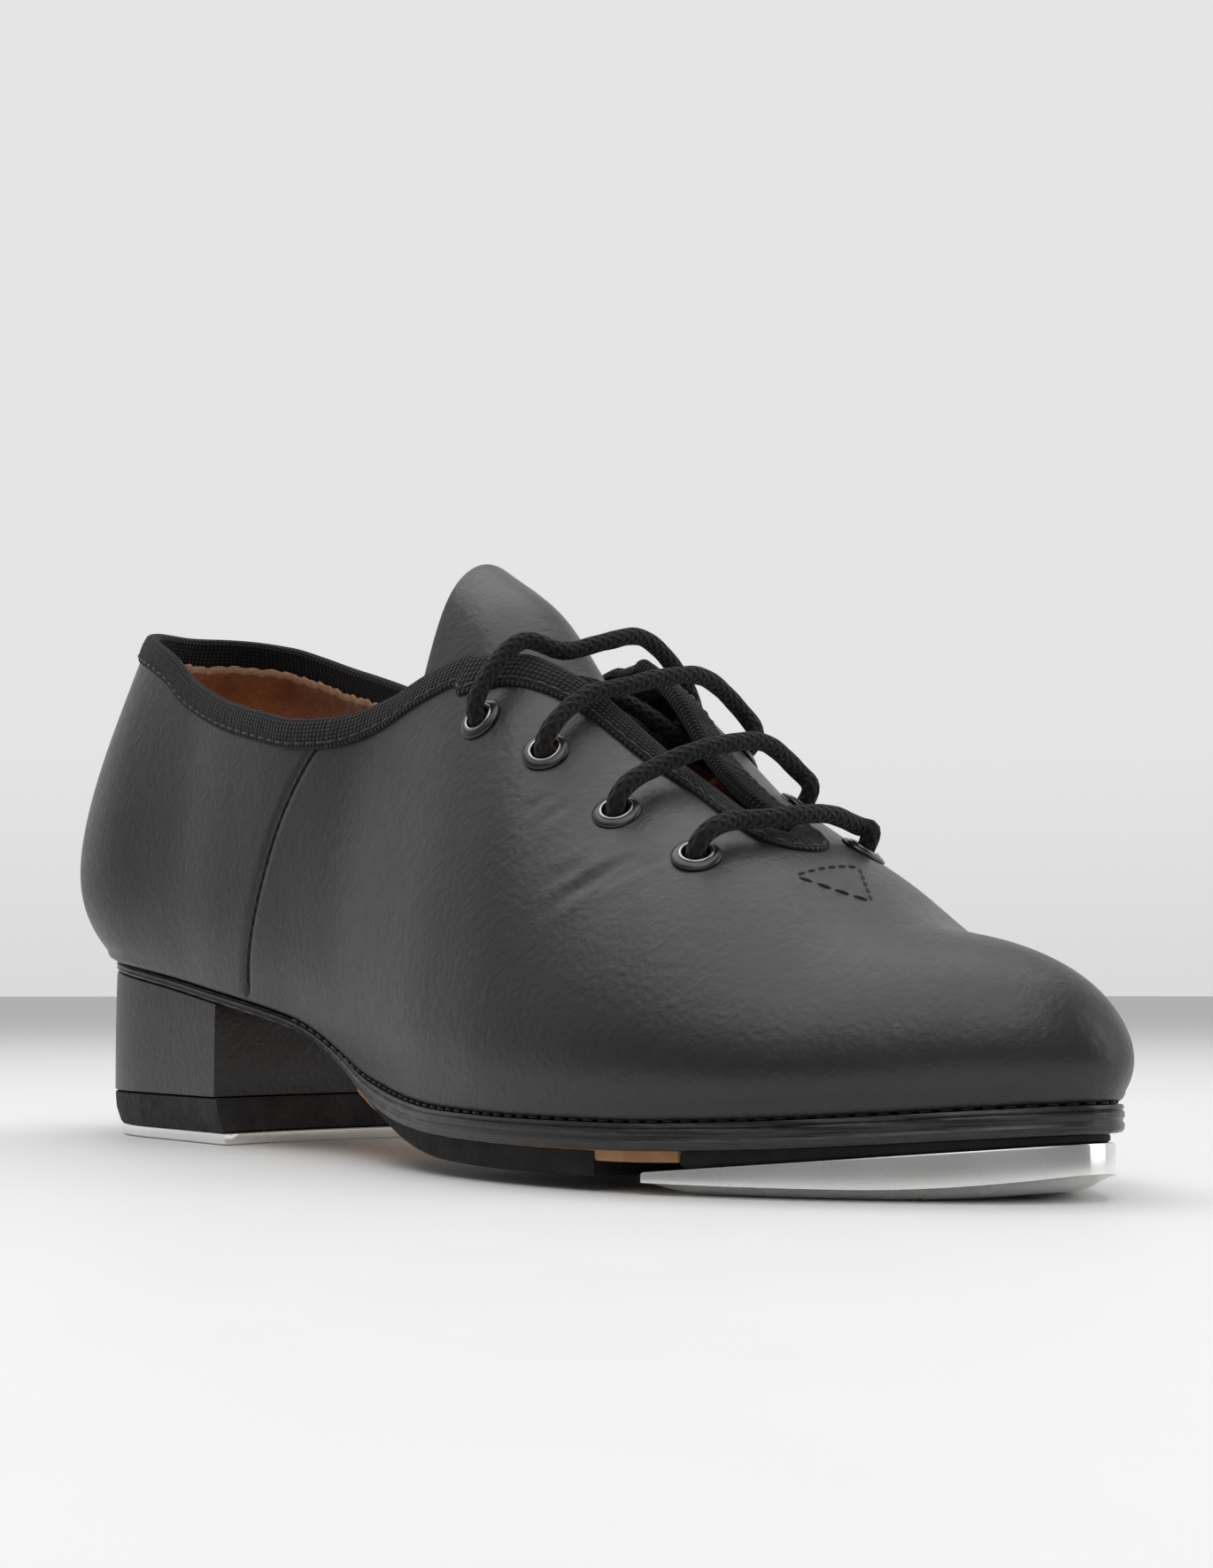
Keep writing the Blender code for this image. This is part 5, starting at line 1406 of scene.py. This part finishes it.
def face_outwards(obj):
    """Make the faces of a closed piece look outwards."""
    mesh = obj.data
    volume = 0.0
    for p in mesh.polygons:
        v = [mesh.vertices[i].co for i in p.vertices]
        for k in range(1, len(v) - 1):
            volume += v[0].dot(v[k].cross(v[k + 1]))
    if volume < 0:
        mesh.flip_normals()


def stacked(outline_at, steps, height):
    """Rings for (move-in, share, drop) steps of a layer; height gives z for x and share."""
    rings = []
    for inset, share, drop in steps:
        ring = outline_at(inset)
        rings.append(at_height(ring, height(ring[:, 0], share) + drop))
    return rings


def make_outsole():
    def outline_at(extra):
        return fine_outline(lambda x: sole_inset(x) + extra, count=120)

    def height(x, share):
        return sole_under(x) + (feather_z(x) - .12 - sole_under(x)) * share

    steps = ((14, 0, 0), (1.1, 0, 0), (.45, 0, .12), (.1, 0, .5), (0, .30, 0), (.28, .40, 0),
             (.28, .46, 0), (0, .56, 0), (.02, .72, 0), (.30, .80, 0), (.05, .88, 0),
             (.25, 1, -.05), (.6, 1, 0), (14, 1, 0))
    slots = [1, 1] + [0] * (len(steps) - 2)
    obj = layered("outsole_leather", stacked(outline_at, steps, height), [EDGE_M, SOLE_TAN_M],
                  slots, 30)
    finish_piece(obj, "shoe", ["outsole"])


def make_welt_seam():
    """Small dark stitches in the crease between the upper and the sole's edge."""
    u = np.linspace(side_u(96, -1), side_u(96, 1), 500)
    o = OUTLINE(u)
    p = np.column_stack([o + outline_normal(u) * .15, feather_z(o[:, 0]) + .12])
    n = np.column_stack([outline_normal(u), np.full(len(u), .8)])
    stitch_run("welt_stitches", p, n, 2.0, 1.0, .22)


def make_pad():
    def outline_at(extra):
        return fine_outline(PAD_INSET + extra, PAD_REAR + extra, PAD_FRONT - extra, 70)

    def height(x, share):
        return pad_under(x) + (sole_under(x) - .1 - pad_under(x)) * share

    steps = ((12, 0, 0), (1.0, 0, 0), (.35, 0, .15), (0, 0, .55), (0, 1, -.2), (.2, 1, 0), (12, 1, 0))
    obj = layered("forepart_rubber", stacked(outline_at, steps, height), [PAD_M])
    finish_piece(obj, "shoe", ["forepart_pad"])


def make_bare_step():
    """Undyed leather step that shows between the pad and the board over the toe tap."""
    rings = []
    for extra, share in ((6, 0), (.3, 0), (0, .25), (0, 1), (6, 1)):
        ring = fine_outline(.7 + extra, PAD_REAR + .5 + extra * .4, BOARD_REAR - .3 - extra * .4, 24)
        rings.append(at_height(ring, sole_under(ring[:, 0]) - 1.7 + 1.68 * share))
    finish_piece(layered("bare_leather_step", rings, [SOLE_TAN_M]), "shoe")


def toe_screw_places():
    return [(x, y, HEAD_SUNK + tap_ground(x)) for x, y in TOE_SCREWS]


def heel_screw_places():
    return [(x, y, HEAD_SUNK) for x, y in HEEL_SCREWS]


def make_toe_board():
    rings = []
    for inset, up in ((.4, 0), (0, .25), (0, .75), (.15, 1)):
        ring = toe_outline(BOARD_INSET + .5 + inset, BOARD_REAR + inset, 60)
        low, high = tap_top(ring[:, 0]) + .06, sole_under(ring[:, 0]) - .06
        rings.append(at_height(ring, low + (high - low) * up))
    finish_piece(layered("toe_board", rings, [PAD_M]), "shoe", ["toe_tap_board"])


def make_toe_tap():
    rings = []
    for step in (TOE_TAP_BEVEL, 5.2, 4.0, 2.8, 1.8, 1.0, .45, .15, 0):
        ring = toe_outline(TOE_TAP_INSET + step, TOE_TAP_REAR + step, 64)
        bevel = (1 - smoothstep(0, TOE_TAP_BEVEL, step)) ** 1.5
        rings.append(at_height(ring, tap_ground(ring[:, 0]) + TOE_TAP_RIM * bevel + .02))
    for step, down in ((0, .35), (.12, .1), (.4, 0)):
        ring = toe_outline(TOE_TAP_INSET + step, TOE_TAP_REAR + step, 64)
        rings.append(at_height(ring, tap_top(ring[:, 0]) - down))
    tap = layered("toe_tap_metal", rings, [ALU_M], smooth=30)
    bore(tap, toe_screw_places())
    finish_piece(tap, "shoe", ["toe_tap"])


def subtract(target, cutter, smooth):
    """Cut one closed mesh out of another and keep the result as a plain mesh."""
    cut = target.modifiers.new("cut", "BOOLEAN")
    cut.operation = "DIFFERENCE"
    cut.solver = "EXACT"
    cut.object = cutter
    bpy.context.view_layer.update()
    graph = bpy.context.evaluated_depsgraph_get()
    done = bpy.data.meshes.new_from_object(target.evaluated_get(graph))
    target.modifiers.clear()
    target.data = done
    bpy.data.objects.remove(cutter, do_unlink=True)
    target.data.set_sharp_from_angle(angle=math.radians(smooth))


def bore(target, places, segments=32):
    """Countersunk screw holes, all cut at once."""
    head, shaft = SCREW_HEAD / 2 + .12, SCREW / 2 + .1
    profile = [(head, -4), (head, .2), (shaft, HEAD_DEPTH + .25), (shaft, 12)]
    points, faces = [], []
    for number, base in enumerate(places):
        first = number * len(profile) * segments
        points += turned(profile, segments, base, (0, 0, 1))
        for r in range(len(profile) - 1):
            for i in range(segments):
                a, b = first + r * segments + i, first + r * segments + (i + 1) % segments
                faces.append((a, b, b + segments, a + segments))
        faces.append(tuple(first + i for i in reversed(range(segments))))
        last = first + (len(profile) - 1) * segments
        faces.append(tuple(last + i for i in range(segments)))
    cutter = make_mesh("cutter", np.vstack(points), faces, [ALU_M])
    face_outwards(cutter)
    subtract(target, cutter, 30)


BOX_FACES = [(0, 1, 2, 3), (4, 7, 6, 5), (0, 4, 5, 1), (1, 5, 6, 2), (2, 6, 7, 3), (3, 7, 4, 0)]
THREAD_PITCH = .9
THREAD_DEPTH = .35
CROSS_HALF_WIDTH = .42
CROSS_REACH = .36          # half length of the cross in the head, as a share of the head


def screw_profile(length):
    """Radius and height pairs of a screw, its face first."""
    head, shaft = SCREW_HEAD / 2, SCREW / 2
    profile = [(.3, .02), (head - .5, .0), (head - .15, .05), (head, .28),
               (shaft + .1, HEAD_DEPTH), (shaft, HEAD_DEPTH + .4)]
    z = HEAD_DEPTH + 1.0
    while z < length - 1.6:
        profile += [(shaft, z), (shaft - THREAD_DEPTH, z + THREAD_DEPTH)]
        z += THREAD_PITCH
    return profile + [(shaft * .8, length - 1.2), (.3, length)]


def cross_bar(name, base, turn):
    """One bar of the cross recess in a screw's face."""
    direction = np.array([math.cos(turn), math.sin(turn), 0])
    across = np.array([-direction[1], direction[0], 0]) * CROSS_HALF_WIDTH
    end = direction * SCREW_HEAD * CROSS_REACH
    corners = np.array([end + across, end - across, -end - across, -end + across])
    deep, shallow = base + np.array([0, 0, .9]), base + np.array([0, 0, -.6])
    bar = make_mesh(name, np.vstack([corners * .8 + deep, corners + shallow]), BOX_FACES, [STEEL_M])
    face_outwards(bar)
    return bar


def make_screws(group, places, length):
    for number, base in enumerate(places, 1):
        screw = lathe(f"{group}_screw_{number}_steel", screw_profile(length), base, (0, 0, 1),
                      [STEEL_M], 36, closed=False)
        face_outwards(screw)
        turn = math.radians(35 + 50 * (base[0] % 7))
        for extra in (0, math.pi / 2):
            subtract(screw, cross_bar(f"slot_{group}_{number}", base, turn + extra), 35)
        finish_piece(screw, f"{group}_screw_{number}", [f"{group}_tap_screw_{number}"])


HEEL_POINTS, BREAST_POINTS = 70, 26
LIFT_Z = HEEL_TAP + GAP
BLOCK_Z = LIFT_Z + HEEL_LIFT + GAP


def heel_ring(inset, breast_x):
    return heel_outline(inset, breast_x, HEEL_POINTS, BREAST_POINTS)


def make_heel_cover():
    rings = []
    for inset, share in ((.9, 0), (.45, .008), (.40, .02), (.34, .25), (.30, .5), (.34, .75),
                         (.40, .96), (.55, .99), (.9, 1)):
        ring = heel_ring(inset, HEEL_LENGTH - 1.2 - max(0, inset - .4))
        height = sole_under(ring[:, 0]) - .08 - BLOCK_Z
        rings.append(at_height(ring, BLOCK_Z + .05 + height * share))
    cover = layered("heel_leather_cover", rings, [HEEL_M], smooth=40, one_face=True)
    finish_piece(cover, "shoe", ["heel_cover", "heel_block"])


def make_heel_lift():
    rings = []
    for inset, x, share in ((2.1, -.2, 0), (1.75, .3, .05), (1.2, .15, .28), (.75, 0, .5),
                            (.55, -.3, .8), (.5, -.6, .97), (.9, -.8, 1)):
        ring = heel_ring(inset, HEEL_LENGTH + x)
        rings.append(at_height(ring, LIFT_Z - .15 + (HEEL_LIFT + .3) * share))
    lift = layered("heel_rubber_lift", rings, [LIFT_M], smooth=40, one_face=True)
    finish_piece(lift, "shoe", ["heel_lift"])


def make_heel_tap():
    rings = [at_height(heel_ring(inset, HEEL_LENGTH + x), z)
             for inset, x, z in ((2.9, -.2, .02), (2.45, .15, .12), (2.1, .5, .45),
                                 (2.0, .6, .8), (2.0, .6, 2.2), (2.15, .45, 2.4))]
    tap = layered("heel_tap_metal", rings, [ALU_M], smooth=30, one_face=True)
    bore(tap, heel_screw_places())
    finish_piece(tap, "shoe", ["heel_tap"])


make_outsole()
make_welt_seam()
make_pad()
make_bare_step()
make_toe_board()
make_toe_tap()
make_screws("toe", toe_screw_places(), TOE_SCREW_LENGTH)
make_screws("heel", heel_screw_places(), HEEL_SCREW_LENGTH)
make_heel_cover()
make_heel_lift()
make_heel_tap()


# ---- pieces that keep their CAD shape ---------------------------------------------------------
KEPT = {"sock_liner": SUEDE_M, "insole": BOARD_M, "bottom_filler": BOARD_M, "shank": STEEL_M,
        "heel_counter": FELT_M, "toe_puff": FELT_M, "heel_nail_1": STEEL_M, "heel_nail_2": STEEL_M,
        "heel_nail_3": STEEL_M, "heel_nail_4": STEEL_M}
for node_name, node_material in KEPT.items():
    node_object = frame["nodes"][node_name]
    for node_slot in node_object.material_slots:
        node_slot.material = node_material
